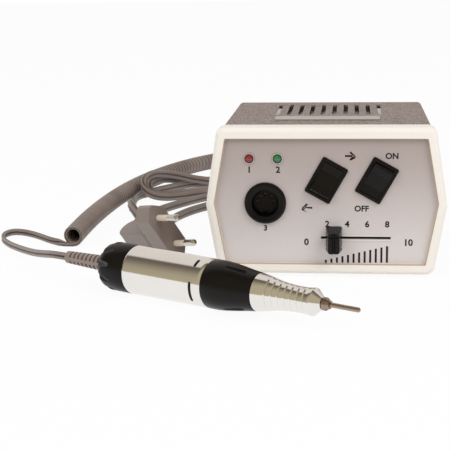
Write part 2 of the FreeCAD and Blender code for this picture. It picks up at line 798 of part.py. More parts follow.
def make_led(x):
    """One lamp: a domed body with a flange and two leads."""
    front = -PANEL_FRONT - LED_STANDS
    dome_centre = V(x, front + LED_R, LED_Z)
    body = rod(LED_R, dome_centre, V(x, front + LED_LENGTH, LED_Z))
    dome = Part.makeSphere(LED_R,
                           dome_centre).common(box(x - 5, x + 5, front - 1, front + LED_R, LED_Z - 5,
                                                   LED_Z + 5))
    flange = rod(LED_FLANGE_R, V(x, -PANEL_BACK + SLIP, LED_Z), V(x, -PANEL_BACK + 1, LED_Z))
    pieces = [body, dome, flange]
    for side in (-1, 1):
        lead_x = x + side * LED_LEAD_SPREAD / 2
        lead_end = front + LED_LENGTH + LED_LEAD_LENGTH
        pieces.append(rod(LED_LEAD_R, V(lead_x, front + LED_LENGTH - 0.5, LED_Z), V(lead_x, lead_end, LED_Z)))
    return join(pieces)


def make_led_rings():
    """The clip rings that hold the lamps in the panel."""
    rings = []
    for x in (RED_LED_X, GREEN_LED_X):
        front = V(x, -PANEL_FRONT - LED_RING_STANDS, LED_Z)
        face = V(x, -PANEL_FRONT, LED_Z)
        back = V(x, -PANEL_BACK, LED_Z)
        ring = cone(LED_RING_R - 0.3, LED_RING_R, front, face).fuse(rod(LED_R + 0.4, face, back))
        rings.append(ring.cut(rod(LED_R + SLIP, front - V(0, 1, 0), back + V(0, 1, 0))).removeSplitter())
    return group(rings)


def socket_point(y):
    """A point on the socket's axis."""
    return V(SOCKET_X, y, SOCKET_Z)


def socket_pin_places():
    """The five contacts' places on the upper part of their circle."""
    places = []
    for index in range(PIN_COUNT):
        angle = radians(90 + (index - (PIN_COUNT - 1) / 2) * PIN_STEP_DEG)
        places.append(V(cos(angle), 0, sin(angle)) * PIN_CIRCLE_R)
    return places


def make_socket_body():
    """The socket's shell: a flange in front of the panel and a barrel through it."""
    front = -PANEL_FRONT - SOCKET_FLANGE
    rear = front + SOCKET_LENGTH
    flange = rod(SOCKET_FLANGE_R, socket_point(front), socket_point(-PANEL_FRONT))
    front_edges = [edge for edge in flange.Edges if edge.BoundBox.YMax < front + 0.01]
    flange = flange.makeFillet(SOCKET_RIM_R, front_edges)
    body = flange.fuse(rod(SOCKET_BARREL_R, socket_point(front + 0.8), socket_point(rear)))
    body = body.cut(rod(SOCKET_BORE_R, socket_point(front - 1), socket_point(rear - SOCKET_FLOOR)))
    body = body.cut(rod(INSERT_R + SLIP, socket_point(front), socket_point(rear + 1)))
    return body.removeSplitter()


def insert_front():
    """The plane of the insert's face."""
    return -PANEL_FRONT - SOCKET_FLANGE + SOCKET_RECESS


def make_socket_insert():
    """The insulating insert with a keyway and the contact holes."""
    front = insert_front()
    insert = rod(INSERT_R, socket_point(front), socket_point(front + INSERT_LENGTH))
    half = KEY_WIDTH / 2
    bottom = SOCKET_Z - INSERT_R
    insert = insert.cut(box(SOCKET_X - half, SOCKET_X + half, front - 1, front + 4, bottom - 1, bottom + 1.5))
    for place in socket_pin_places():
        hole = socket_point(front - 1) + place
        insert = insert.cut(rod(CONTACT_R + SLIP, hole, hole + V(0, INSERT_LENGTH + 2, 0)))
    return insert


def make_socket_contacts():
    """The five contacts with their solder tails."""
    contacts = []
    for place in socket_pin_places():
        start = socket_point(insert_front() + 3) + place
        tube = rod(CONTACT_R, start, start + V(0, INSERT_LENGTH - 3 + CONTACT_TAIL, 0))
        contacts.append(tube.cut(rod(CONTACT_R / 2, start - V(0, 1, 0), start + V(0, 3, 0))))
    return group(contacts)


def make_socket_nut():
    """The round nut behind the panel."""
    ring = rod(SOCKET_NUT_R, socket_point(-PANEL_BACK), socket_point(-PANEL_BACK + SOCKET_NUT))
    return ring.cut(rod(SOCKET_BARREL_R + SLIP, socket_point(-PANEL_BACK - 1), socket_point(-PANEL_BACK + 5)))


def place_switch(shape, x):
    """Turn a switch part from its own frame (length along Z, outwards along -Y) to its place."""
    placed = shape.copy()
    placed.rotate(V(0, 0, 0), V(0, 1, 0), ROCKER_TILT_DEG)
    placed.translate(V(x, -PANEL_FRONT, SWITCH_Z))
    return placed


def switch_opening():
    """The size of the rocker's opening: half length and half width."""
    corner_reach = sqrt(ROCKER_CORNER ** 2 + (ROCKER_CORNER_STANDS - PIVOT_STANDS) ** 2)
    return corner_reach + BODY_GAP - 0.1, SWITCH_WIDTH / 2 - SWITCH_WALL


def make_switch_frame():
    """The switch housing: a raised frame in front of the panel and a hollow body behind it."""
    long_half, wide_half = FRAME_LENGTH / 2, FRAME_WIDTH / 2
    base = [V(-wide_half, 0, -long_half), V(wide_half, 0, -long_half), V(wide_half, 0, long_half),
            V(-wide_half, 0, long_half)]
    flange = prism(rounded_wire(base, [1.0] * 4), V(0, -FRAME_STANDS, 0))
    outer_edges = [edge for edge in flange.Edges if edge.BoundBox.YMax < -FRAME_STANDS + 0.01]
    flange = flange.makeChamfer(FRAME_EDGE, outer_edges)
    body = box(-SWITCH_WIDTH / 2, SWITCH_WIDTH / 2, 0, SWITCH_DEPTH, -SWITCH_LENGTH / 2, SWITCH_LENGTH / 2)
    open_long, open_wide = switch_opening()
    cavity = box(-open_wide, open_wide, -FRAME_STANDS - 1, SWITCH_DEPTH - SWITCH_FLOOR, -open_long, open_long)
    frame = flange.fuse(body).cut(cavity)
    reach = open_wide + PIVOT_LENGTH + SLIP
    frame = frame.cut(rod(PIVOT_R + SLIP, V(-reach, -PIVOT_STANDS, 0), V(reach, -PIVOT_STANDS, 0)))
    for z in blade_places():
        half = BLADE / 2 + SLIP
        slot = box(-BLADE_WIDTH / 2 - SLIP, BLADE_WIDTH / 2 + SLIP, SWITCH_DEPTH - SWITCH_FLOOR - 1,
                   SWITCH_DEPTH + 1, z - half, z + half)
        frame = frame.cut(slot)
    return frame.removeSplitter()


def blade_places():
    """The three terminal rows' places along a switch."""
    return [-BLADE_PITCH, 0, BLADE_PITCH]


def make_rocker():
    """The rocker in its middle position: a dished top of three faces, end walls round the pivot, and two pivot pins."""
    corner_reach = sqrt(ROCKER_CORNER ** 2 + (ROCKER_CORNER_STANDS - PIVOT_STANDS) ** 2)
    corner_angle = atan2(ROCKER_CORNER_STANDS - PIVOT_STANDS, ROCKER_CORNER)
    low_angle = -radians(ROCKER_SWING_DEG + 8)
    centre_stands = ROCKER_CORNER_STANDS - (ROCKER_CORNER - ROCKER_FLAT_HALF) * tan(radians(ROCKER_FACET_DEG))
    half_width = SWITCH_WIDTH / 2 - SWITCH_WALL - ROCKER_SIDE_GAP

    def end_point(angle, side):
        """A point of an end wall's arc, in the plane x = -half_width."""
        out = PIVOT_STANDS + corner_reach * sin(angle)
        return V(-half_width, -out, side * corner_reach * cos(angle))

    mid_angle = (corner_angle + low_angle) / 2
    bottom_centre = V(-half_width, ROCKER_BELOW, 0)
    folds = {side: V(-half_width, -centre_stands, side * ROCKER_FLAT_HALF) for side in (1, -1)}
    edges = [Part.LineSegment(folds[-1], folds[1]).toShape()]
    for side in (1, -1):
        upper, middle, lower = end_point(corner_angle, side), end_point(mid_angle,
                                                                        side), end_point(low_angle, side)
        edges.append(Part.LineSegment(folds[side], upper).toShape())
        edges.append(Part.Arc(upper, middle, lower).toShape())
        edges.append(Part.LineSegment(lower, bottom_centre).toShape())
    wire = Part.Wire(Part.sortEdges(edges)[0])
    rocker = prism(wire, V(2 * half_width, 0, 0))
    pin_reach = half_width + ROCKER_SIDE_GAP + PIVOT_LENGTH - SLIP
    pins = rod(PIVOT_R, V(-pin_reach, -PIVOT_STANDS, 0), V(pin_reach, -PIVOT_STANDS, 0))
    return rocker.fuse(pins).removeSplitter()


def rocker_at(x, swing):
    """A rocker swung about its pivot and set in its switch."""
    rocker = make_rocker()
    rocker.rotate(V(0, -PIVOT_STANDS, 0), V(1, 0, 0), swing)
    return place_switch(rocker, x)


def make_terminals():
    """The terminal blades of both switches: three on the direction switch, two on the power switch."""
    blades = []
    start = SWITCH_DEPTH - SWITCH_FLOOR
    for x, rows in ((DIRECTION_X, blade_places()), (POWER_X, blade_places()[:2])):
        for z in rows:
            blade = box(-BLADE_WIDTH / 2, BLADE_WIDTH / 2, start, SWITCH_DEPTH + BLADE_LENGTH, z - BLADE / 2,
                        z + BLADE / 2)
            hole = rod(0.7, V(0, SWITCH_DEPTH + BLADE_LENGTH - 2.5, z - 1),
                       V(0, SWITCH_DEPTH + BLADE_LENGTH - 2.5, z + 1))
            blades.append(place_switch(blade.cut(hole), x))
    return group(blades)


def make_front_panel():
    """The front panel with its cut-outs."""
    panel = case_block(0, -PANEL_FRONT, -PANEL_BACK)
    cuts = []
    for x in (RED_LED_X, GREEN_LED_X):
        cuts.append(rod(LED_R + 0.4 + SLIP, V(x, -PANEL_FRONT - 1, LED_Z), V(x, -PANEL_BACK + 1, LED_Z)))
    cuts.append(rod(SOCKET_BARREL_R + SLIP, socket_point(-PANEL_FRONT - 1), socket_point(-PANEL_BACK + 1)))
    half_width, half_length = SWITCH_WIDTH / 2 + 0.1, SWITCH_LENGTH / 2 + 0.1
    for x in (DIRECTION_X, POWER_X):
        cuts.append(place_switch(box(-half_width, half_width, -1, PANEL + 1, -half_length, half_length), x))
    half, slot_r = SLOT_LENGTH / 2, SLOT_HEIGHT / 2
    cuts.append(box(SLIDE_CENTRE_X - half, SLIDE_CENTRE_X + half, -PANEL_FRONT - 1, -PANEL_BACK + 1,
                    SLIDE_Z - slot_r, SLIDE_Z + slot_r))
    return panel.cut(cuts)


def make_rear_panel():
    """The rear panel inside the case's end, with the mains bush's hole and two lugs on the floor."""
    panel = case_block(-SHEET - SEAT, PANEL_BACK, PANEL_FRONT)
    holes = [rod(BUSH_NECK_R + SLIP, V(BUSH_X, PANEL_BACK - 1, BUSH_Z), V(BUSH_X, PANEL_FRONT + 1, BUSH_Z))]
    for place in screw_places():
        if place.y > 0:
            half = LUG_WIDTH / 2
            lug = box(place.x - half, place.x + half, PANEL_BACK - LUG_DEPTH, PANEL_BACK + PANEL / 2,
                      FLOOR_TOP, FLOOR_TOP + LUG_HEIGHT)
            panel = panel.fuse(lug)
            holes.append(rod(SCREW_R + SLIP, place, place + V(0, 0, FLOOR_TOP + LUG_HEIGHT + 1)))
    return panel.cut(holes).removeSplitter()


def make_pot_body():
    """The slide resistor's metal case behind the panel, open towards the slot."""
    half_length, half_height = POT_LENGTH / 2, POT_HEIGHT / 2
    y0, y1 = -PANEL_BACK, -PANEL_BACK + POT_DEPTH
    body = box(SLIDE_CENTRE_X - half_length, SLIDE_CENTRE_X + half_length, y0, y1, SLIDE_Z - half_height,
               SLIDE_Z + half_height)
    inner = half_length - POT_WALL
    cavity = box(SLIDE_CENTRE_X - inner, SLIDE_CENTRE_X + inner, y0 + POT_WALL, y1 - POT_WALL,
                 SLIDE_Z - half_height + POT_WALL, SLIDE_Z + half_height - POT_WALL)
    slot_half = SLOT_LENGTH / 2
    slot = box(SLIDE_CENTRE_X - slot_half, SLIDE_CENTRE_X + slot_half, y0 - 1, y0 + 2,
               SLIDE_Z - SLOT_HEIGHT / 2, SLIDE_Z + SLOT_HEIGHT / 2)
    return body.cut([cavity, slot])


def make_lever():
    """The slide's lever with the wiper block that runs inside the resistor."""
    x = SLIDE_REST_X
    wiper_y = -PANEL_BACK + POT_WALL + BODY_GAP
    half_height = POT_HEIGHT / 2 - POT_WALL - BODY_GAP
    wiper = box(x - WIPER_WIDTH / 2, x + WIPER_WIDTH / 2, wiper_y, wiper_y + WIPER_DEPTH,
                SLIDE_Z - half_height, SLIDE_Z + half_height)
    tip = -PANEL_FRONT - KNOB_STANDS + 4
    lever = box(x - LEVER_WIDTH / 2, x + LEVER_WIDTH / 2, tip, wiper_y + 1, SLIDE_Z - LEVER_THICK / 2,
                SLIDE_Z + LEVER_THICK / 2)
    return join([wiper, lever])


def make_knob():
    """The slide's knob: a tapered finger grip with stepped sides, a centre groove and a pocket for the lever."""
    x = SLIDE_REST_X
    base, tip = -PANEL_FRONT - KNOB_GAP, -PANEL_FRONT - KNOB_STANDS
    half_width, half_height = KNOB_WIDTH / 2, KNOB_HEIGHT / 2
    z = SLIDE_Z - 0.6
    back = rounded_wire([V(x - half_width, base, z - half_height), V(x + half_width, base, z - half_height),
                         V(x + half_width, base, z + half_height), V(x - half_width, base, z + half_height)],
                        [1.2] * 4)
    front = rounded_wire([V(x - half_width + KNOB_WEDGE, tip, z - half_height + 1),
                          V(x + half_width - KNOB_WEDGE, tip, z - half_height + 1),
                          V(x + half_width - KNOB_WEDGE, tip, z + half_height - 2),
                          V(x - half_width + KNOB_WEDGE, tip, z + half_height - 2)], [1.2] * 4)
    knob = Part.makeLoft([back, front], True, True)
    groove = rod(0.8, V(x, tip, z - half_height - 1), V(x, tip, z + half_height + 1))
    steps = []
    for side in (-1, 1):
        for step in (-1, 0, 1):
            step_x = x + side * (half_width + 0.2)
            steps.append(rod(0.7, V(step_x, (base + tip) / 2 - 6, z + step * 4.2),
                             V(step_x, base + 1, z + step * 4.2)))
    top_notch = box(x - 2.2, x + 2.2, tip - 1, tip + 1.2, z + half_height - 4.5, z + half_height - 3.5)
    pocket = box(x - LEVER_WIDTH / 2 - SLIP, x + LEVER_WIDTH / 2 + SLIP, tip + 4 - SLIP, base + 1,
                 SLIDE_Z - LEVER_THICK / 2 - SLIP, SLIDE_Z + LEVER_THICK / 2 + SLIP)
    return knob.cut([groove, top_notch, pocket] + steps)


def make_main_board():
    """The power board with holes over its standoffs and a small bridge rectifier."""
    x0, x1 = BOARD_X - BOARD_WIDTH / 2, BOARD_X + BOARD_WIDTH / 2
    y0, y1 = BOARD_Y - BOARD_DEPTH / 2, BOARD_Y + BOARD_DEPTH / 2
    board = box(x0, x1, y0, y1, BOARD_BOTTOM, BOARD_TOP)
    for place in standoff_places():
        board = board.cut(rod(SCREW_R + SLIP, place + V(0, 0, BOARD_BOTTOM - 1),
                              place + V(0, 0, BOARD_TOP + 1)))
    bridge = box(BOARD_X + 8, BOARD_X + 12, BOARD_Y + 4, BOARD_Y + 19, BOARD_TOP, BOARD_TOP + 11)
    return join([board, bridge])


def make_standoffs():
    """Hexagonal standoffs under the board."""
    pieces = []
    for place in standoff_places():
        base = place + V(0, 0, FLOOR_TOP)
        hole = rod(SCREW_R + SLIP, base - V(0, 0, 1), base + V(0, 0, STANDOFF + 1))
        pieces.append(hexagon_prism(STANDOFF_FLATS, base, STANDOFF).cut(hole))
    return group(pieces)


def pan_screw(place, seat):
    """A pan head screw that comes down on a seat."""
    top = place + V(0, 0, seat)
    head = rod(PAN_HEAD_R, top, top + V(0, 0, PAN_HEAD_HEIGHT))
    slot = box(place.x - PAN_HEAD_R - 1, place.x + PAN_HEAD_R + 1, place.y - 0.35, place.y + 0.35,
               seat + PAN_HEAD_HEIGHT - 0.8, seat + PAN_HEAD_HEIGHT + 1)
    shank = rod(SCREW_R, top - V(0, 0, PAN_SHANK), top)
    return head.fuse(shank).cut(slot).removeSplitter()


def make_inner_screws():
    """The screws of the board and of the transformer's bracket."""
    screws = [pan_screw(place, BOARD_TOP) for place in standoff_places()]
    screws += [pan_screw(place, FLOOR_TOP + STRAP) for place in strap_screw_places()]
    return group(screws)


def make_capacitor():
    """The smoothing capacitor on the board."""
    base = V(BOARD_X - 8, BOARD_Y + 12, BOARD_TOP)
    body = rod(CAPACITOR_R, base, base + V(0, 0, CAPACITOR_HEIGHT))
    crimp = Part.makeTorus(CAPACITOR_R + 0.2, 0.7, base + V(0, 0, 3), V(0, 0, 1))
    return body.cut(crimp)


def make_heat_sink():
    """The finned heat sink at the front of the board."""
    x, y = BOARD_X - 3, BOARD_Y - 26
    base = box(x - SINK_WIDTH / 2, x + SINK_WIDTH / 2, y, y + 2, BOARD_TOP, BOARD_TOP + SINK_HEIGHT)
    pieces = [base]
    for index in range(SINK_FINS):
        fin_x = x - SINK_WIDTH / 2 + index * (SINK_WIDTH - SINK_FIN) / (SINK_FINS - 1)
        pieces.append(box(fin_x, fin_x + SINK_FIN, y - SINK_DEPTH + 2, y + 1, BOARD_TOP,
                          BOARD_TOP + SINK_HEIGHT))
    return join(pieces)


def make_transistor():
    """The power transistor flat on the heat sink, with its legs in the board."""
    x, y = BOARD_X - 3, BOARD_Y - 24
    low = BOARD_TOP + 6
    half = TRANSISTOR_WIDTH / 2
    body = box(x - half, x + half, y, y + TRANSISTOR_THICK, low, low + TRANSISTOR_HEIGHT * 0.6)
    tab = box(x - half, x + half, y, y + 1.3, low, low + TRANSISTOR_HEIGHT)
    tab = tab.cut(rod(1.8, V(x, y - 1, low + TRANSISTOR_HEIGHT - 3),
                      V(x, y + 3, low + TRANSISTOR_HEIGHT - 3)))
    legs = [box(x + i * 2.54 - 0.4, x + i * 2.54 + 0.4, y + 2, y + 2.5, BOARD_TOP, low + 1) for i in (-1, 0,
                                                                                                      1)]
    return join([body, tab] + legs)


def core_box(x_half, y_half, z0, z1):
    """A block centred on the transformer."""
    return box(TRANSFORMER_X - x_half, TRANSFORMER_X + x_half, TRANSFORMER_Y - y_half,
               TRANSFORMER_Y + y_half, z0, z1)


def make_core():
    """The laminated core with its two windows."""
    core = core_box(CORE_STACK / 2, CORE_LENGTH / 2, FLOOR_TOP, FLOOR_TOP + CORE_HEIGHT)
    z0, z1 = FLOOR_TOP + CORE_YOKE, FLOOR_TOP + CORE_HEIGHT - CORE_YOKE
    leg = CORE_LENGTH / 2 - CORE_YOKE - WINDOW_WIDTH
    windows = []
    for side in (-1, 1):
        inner = TRANSFORMER_Y + side * leg
        outer = TRANSFORMER_Y + side * (leg + WINDOW_WIDTH)
        windows.append(box(TRANSFORMER_X - CORE_STACK, TRANSFORMER_X + CORE_STACK, min(inner, outer),
                           max(inner, outer), z0, z1))
    return core.cut(windows)


def make_winding():
    """The winding on its former, round the middle leg."""
    z0, z1 = FLOOR_TOP + CORE_YOKE + 0.1, FLOOR_TOP + CORE_HEIGHT - CORE_YOKE - 0.1
    leg = CORE_LENGTH / 2 - CORE_YOKE - WINDOW_WIDTH
    outer = core_box(CORE_STACK / 2 + WINDING_BULGE, leg + WINDOW_WIDTH - 0.2, z0, z1)
    upright = [edge for edge in outer.Edges if abs(edge.BoundBox.ZLength - (z1 - z0)) < 0.01]
    outer = outer.makeFillet(4.0, upright)
    return outer.cut(core_box(CORE_STACK / 2 + 0.1, leg + 0.1, z0 - 1, z1 + 1))


def make_bracket():
    """The steel bracket over the core with a foot at each end."""
    half = CORE_LENGTH / 2
    top = FLOOR_TOP + CORE_HEIGHT
    width = CORE_STACK / 2 - 2
    strap = core_box(width, half + STRAP, FLOOR_TOP,
                     top + STRAP).cut(core_box(width + 1, half + 0.05, FLOOR_TOP - 1, top + 0.05))
    feet = core_box(width, half + STRAP + STRAP_FOOT, FLOOR_TOP,
                    FLOOR_TOP + STRAP).cut(core_box(width + 1, half + 0.05, FLOOR_TOP - 1, top))
    strap = strap.fuse(feet)
    for place in strap_screw_places():
        strap = strap.cut(rod(SCREW_R + SLIP, place + V(0, 0, FLOOR_TOP - 1), place + V(0, 0, FLOOR_TOP + 3)))
    return strap.removeSplitter()


def make_bush():
    """The mains cord's bush: a flange, a neck in the rear panel and a ribbed taper."""
    start = V(BUSH_X, PANEL_BACK - 2.2, BUSH_Z)
    panel_in, panel_out = V(BUSH_X, PANEL_BACK, BUSH_Z), V(BUSH_X, PANEL_FRONT, BUSH_Z)
    flange_end = panel_out + V(0, BUSH_FLANGE, 0)
    tip = V(BUSH_X, MAINS_ROUTE[0][1], BUSH_Z)
    pieces = [rod(BUSH_FLANGE_R, start, panel_in), rod(BUSH_NECK_R, start, flange_end),
              rod(BUSH_FLANGE_R, panel_out, flange_end)]
    pieces.append(cone(BUSH_ROOT_R, BUSH_TIP_R, flange_end - V(0, 0.1, 0), tip))
    body = join(pieces)
    taper_length = (tip - flange_end).Length
    for index in range(BUSH_RIBS):
        y = flange_end.y + taper_length * (index + 1) / (BUSH_RIBS + 1.6)
        outer_r = BUSH_FLANGE_R
        slit = rod(outer_r, V(BUSH_X, y, BUSH_Z), V(BUSH_X, y + 1.2, BUSH_Z))
        slit = slit.cut(rod(BUSH_TIP_R - 0.6, V(BUSH_X, y - 1, BUSH_Z), V(BUSH_X, y + 3, BUSH_Z)))
        slit = slit.cut(box(BUSH_X - 1.2, BUSH_X + 1.2, y - 1, y + 3, BUSH_Z - 10, BUSH_Z + 10))
        body = body.cut(slit)
    return body


def place_handpiece(shape):
    """Lay a part of the handpiece, made along X, in its place on the table."""
    placed = shape.copy()
    placed.rotate(V(0, 0, 0), V(0, 0, 1), HANDPIECE_TURN_DEG)
    placed.translate(HANDPIECE_PLACE)
    return placed


def make_relief():
    """The handpiece's cord relief: a slotted taper with a collar at its tip and a spine down each side."""
    root, tip = -CAP_LENGTH, -CAP_LENGTH - RELIEF_LENGTH
    body = turned_cone(tip, root, RELIEF_TIP_R,
                       RELIEF_ROOT_R).fuse(turned_cone(root - 0.1, root + RELIEF_PLUG, RELIEF_ROOT_R,
                                                       RELIEF_ROOT_R))
    gaps = int((RELIEF_LENGTH - RELIEF_COLLAR - RELIEF_RIB_GAP) / RELIEF_RIB_PITCH)
    for index in range(gaps):
        start = tip + RELIEF_COLLAR + index * RELIEF_RIB_PITCH
        ring = tube_on_axis(start, start + RELIEF_RIB_GAP, RELIEF_ROOT_R + 2, RELIEF_CORE_R)
        reach = RELIEF_ROOT_R + 3
        bridge = box(start - 1, start + RELIEF_RIB_GAP + 1, -reach, reach, -RELIEF_SPINE / 2, RELIEF_SPINE / 2)
        body = body.cut(ring.cut(bridge))
    return body.removeSplitter()


def make_rear_cap():
    """The fluted rear cap with a rounded end and a spigot inside the barrel."""
    straight = -CAP_LENGTH + (CAP_R - CAP_REAR_R) * 1.6
    outline = [V(-CAP_LENGTH, 0, 0), V(-CAP_LENGTH, CAP_REAR_R, 0), V(straight, CAP_R, 0)]
    mid = V(-CAP_LENGTH + 1.9, CAP_REAR_R + 2.6, 0)
    edges = [Part.LineSegment(outline[0], outline[1]).toShape(),
             Part.Arc(outline[1], mid, outline[2]).toShape()]
    spigot_r = BARREL_BORE_R - SLIP
    path = [outline[2], V(0, CAP_R, 0), V(0, spigot_r, 0), V(CAP_SPIGOT, spigot_r, 0),
            V(CAP_SPIGOT, spigot_r - CAP_WALL, 0),
            V(-CAP_LENGTH + RELIEF_PLUG, spigot_r - CAP_WALL, 0), V(-CAP_LENGTH + RELIEF_PLUG, 0, 0),
            outline[0]]
    for first, second in zip(path, path[1:]):
        edges.append(Part.LineSegment(first, second).toShape())
    cap = Part.Face(Part.Wire(edges)).revolve(V(0, 0, 0), V(1, 0, 0), 360)
    cap = cap.cut(turned_cone(-CAP_LENGTH - 1, -CAP_LENGTH + RELIEF_PLUG + 1, RELIEF_ROOT_R + SLIP,
                              RELIEF_ROOT_R + SLIP))
    flute_reach = CAP_R + FLUTE_R - FLUTE_DEPTH
    for index in range(FLUTES):
        angle = 2 * pi * index / FLUTES
        out = V(0, cos(angle), sin(angle))
        start = V(-CAP_LENGTH - 1, 0, 0) + out * (flute_reach - 1.2)
        end = V(-CAP_LENGTH + 10, 0, 0) + out * flute_reach
        cap = cap.cut(rod(FLUTE_R, start, end).fuse(Part.makeSphere(FLUTE_R, end)))
    return cap


def make_barrel():
    """The motor barrel with two short alignment marks near its front edge."""
    barrel = turned([(0, BARREL_BORE_R), (0, CAP_R - 0.15), (0.3, CAP_R),
                     (BARREL_END - 1.2, BARREL_FRONT_R + 0.1),
                     (BARREL_END, BARREL_FRONT_R - 0.3), (BARREL_END, BARREL_BORE_R)])
    mark_end = BARREL_END - 5.0
    ring = tube_on_axis(mark_end - BARREL_MARK, mark_end, CAP_R + 2, BARREL_FRONT_R - BARREL_MARK_DEPTH)
    for start_deg in (35, 150):
        wedge = Part.makeCylinder(CAP_R + 5, BARREL_MARK + 2, V(mark_end - BARREL_MARK - 1, 0, 0),
                                  V(1, 0, 0), 40)
        wedge.rotate(V(0, 0, 0), V(1, 0, 0), start_deg)
        barrel = barrel.cut(ring.common(wedge))
    return barrel


def bearing_centres():
    """Where the four bearings sit: two in the motor, two in the spindle housing."""
    motor_end = MOTOR_START + MOTOR_LENGTH
    return [MOTOR_START + MOTOR_WALL + BEARING_WIDTH / 2, motor_end - MOTOR_WALL - BEARING_WIDTH / 2,
            HOUSING_STEP + HOUSING_BEARING_INSET, HOUSING_FRONT - HOUSING_BEARING_INSET]


def make_motor_can():
    """The motor's can with a bearing seat at each end."""
    start, end = MOTOR_START, MOTOR_START + MOTOR_LENGTH
    can = turned_cone(start, end, MOTOR_R, MOTOR_R)
    seat = MOTOR_WALL + BEARING_WIDTH + 0.5
    can = can.cut(turned_cone(start + seat, end - seat, MOTOR_R - MOTOR_WALL, MOTOR_R - MOTOR_WALL))
    can = can.cut(turned_cone(start + MOTOR_WALL, end - MOTOR_WALL, BEARING_R + SLIP, BEARING_R + SLIP))
    return can.cut(turned_cone(start - 1, end + 1, SHAFT_R + 0.6, SHAFT_R + 0.6))


def make_outer_rings():
    """The bearings' outer rings."""
    half = BEARING_WIDTH / 2
    inner = BEARING_R - BEARING_OUTER_WALL
    return group([tube_on_axis(c - half, c + half, BEARING_R, inner) for c in bearing_centres()])


def make_inner_rings():
    """The bearings' inner rings: on the motor's shaft and on the spindle."""
    half = BEARING_WIDTH / 2
    rings = []
    for index, centre in enumerate(bearing_centres()):
        bore = SHAFT_R if index < 2 else SPINDLE_R
        rings.append(tube_on_axis(centre - half, centre + half, BEARING_R - BEARING_OUTER_WALL - 0.15,
                                  bore + SLIP / 2))
    return group(rings)


def make_rotor():
    """The motor's rotor stack on its shaft."""
    start, end = MOTOR_START, MOTOR_START + MOTOR_LENGTH
    seat = MOTOR_WALL + BEARING_WIDTH + 1.5
    stack = turned_cone(start + seat, end - seat, ROTOR_R, ROTOR_R)
    shaft = turned_cone(start - 2, coupling_start() + COUPLING_LENGTH / 2 - SLIP, SHAFT_R, SHAFT_R)
    return join([stack, shaft])


def coupling_start():
    """Where the coupling begins."""
    return MOTOR_START + MOTOR_LENGTH + COUPLING_GAP


def make_coupling():
    """The coupling between the motor's shaft and the spindle."""
    start = coupling_start()
    middle = start + COUPLING_LENGTH / 2
    end = start + COUPLING_LENGTH
    body = turned_cone(start, end, COUPLING_R, COUPLING_R)
    body = body.cut(turned_cone(start - 1, middle, SHAFT_R + SLIP / 2, SHAFT_R + SLIP / 2))
    return body.cut(turned_cone(middle, end + 1, SPINDLE_R + SLIP / 2, SPINDLE_R + SLIP / 2))


def make_housing():
    """The fixed spindle housing: a flange in the barrel's mouth and a stepped tube forward."""
    bore = BEARING_R + SLIP
    flange_start = BARREL_END - HOUSING_FLANGE
    rear_bore = COUPLING_R + 0.8
    return turned([(flange_start, rear_bore), (flange_start, BARREL_BORE_R - SLIP),
                   (BARREL_END, BARREL_BORE_R - SLIP),
                   (BARREL_END, HOUSING_REAR_R), (HOUSING_STEP, HOUSING_REAR_R), (HOUSING_STEP, HOUSING_R),
                   (HOUSING_FRONT, HOUSING_R), (HOUSING_FRONT, bore), (HOUSING_STEP - 2, bore),
                   (HOUSING_STEP - 2, rear_bore)])


def make_spindle():
    """The hollow spindle that carries the collet."""
    start = coupling_start() + COUPLING_LENGTH / 2 + SLIP
    return tube_on_axis(start, NOSE_TIP_END, SPINDLE_R, SPINDLE_R - SPINDLE_WALL)


def make_grip():
    """The grip sleeve with long scoops."""
    end_r = NOSE_REAR_R
    grip = turned([(GRIP_START, GRIP_BORE_R), (GRIP_START, BARREL_FRONT_R - 0.25),
                   (GRIP_START + 0.8, BARREL_FRONT_R),
                   (GRIP_START + 7, BARREL_FRONT_R - 0.1), (GRIP_END - 3, end_r + 0.35), (GRIP_END, end_r),
                   (GRIP_END, GRIP_BORE_R)])
    start_x, end_x = GRIP_START + 9, GRIP_END - 3.5
    for index in range(GRIP_SCOOPS):
        angle = radians(GRIP_SCOOP_FIRST_DEG) + 2 * pi * index / GRIP_SCOOPS
        out = V(0, cos(angle), sin(angle))
        reach_start = BARREL_FRONT_R - 1.0 + GRIP_SCOOP_R - GRIP_SCOOP_DEPTH
        reach_end = end_r + 0.6 + GRIP_SCOOP_R - GRIP_SCOOP_DEPTH
        scoop = rod(GRIP_SCOOP_R, V(start_x, 0, 0) + out * reach_start, V(end_x, 0, 0) + out * reach_end)
        side = out.cross(V(1, 0, 0))
        width = 2.3
        lane = prism(rounded_wire([V(start_x - 2, 0, 0) + side * width + out * 5,
                                   V(end_x + 2, 0, 0) + side * width + out * 5,
                                   V(end_x + 2, 0, 0) - side * width + out * 5,
                                   V(start_x - 2, 0, 0) - side * width + out * 5],
                                  [0] * 4), out * 12)
        grip = grip.cut(scoop.common(lane))
    return grip


def make_lock_ring():
    """The ring inside the grip that pushes the collet open when the grip is twisted."""
    start = HOUSING_STEP + 0.5
    return tube_on_axis(start, start + LOCK_RING_LENGTH, GRIP_BORE_R - SLIP, HOUSING_R + BODY_GAP)


def nose_radius(along):
    """The nose cone's waisted outline, by the distance from the grip's front face."""
    if along < NOSE_WAIST:
        return NOSE_WAIST_R + (NOSE_REAR_R - NOSE_WAIST_R) * (1 - along / NOSE_WAIST) ** 1.8
    return NOSE_WAIST_R + (NOSE_FRONT_R - NOSE_WAIST_R) * ((along - NOSE_WAIST) / (NOSE_LENGTH - NOSE_WAIST)) ** 2


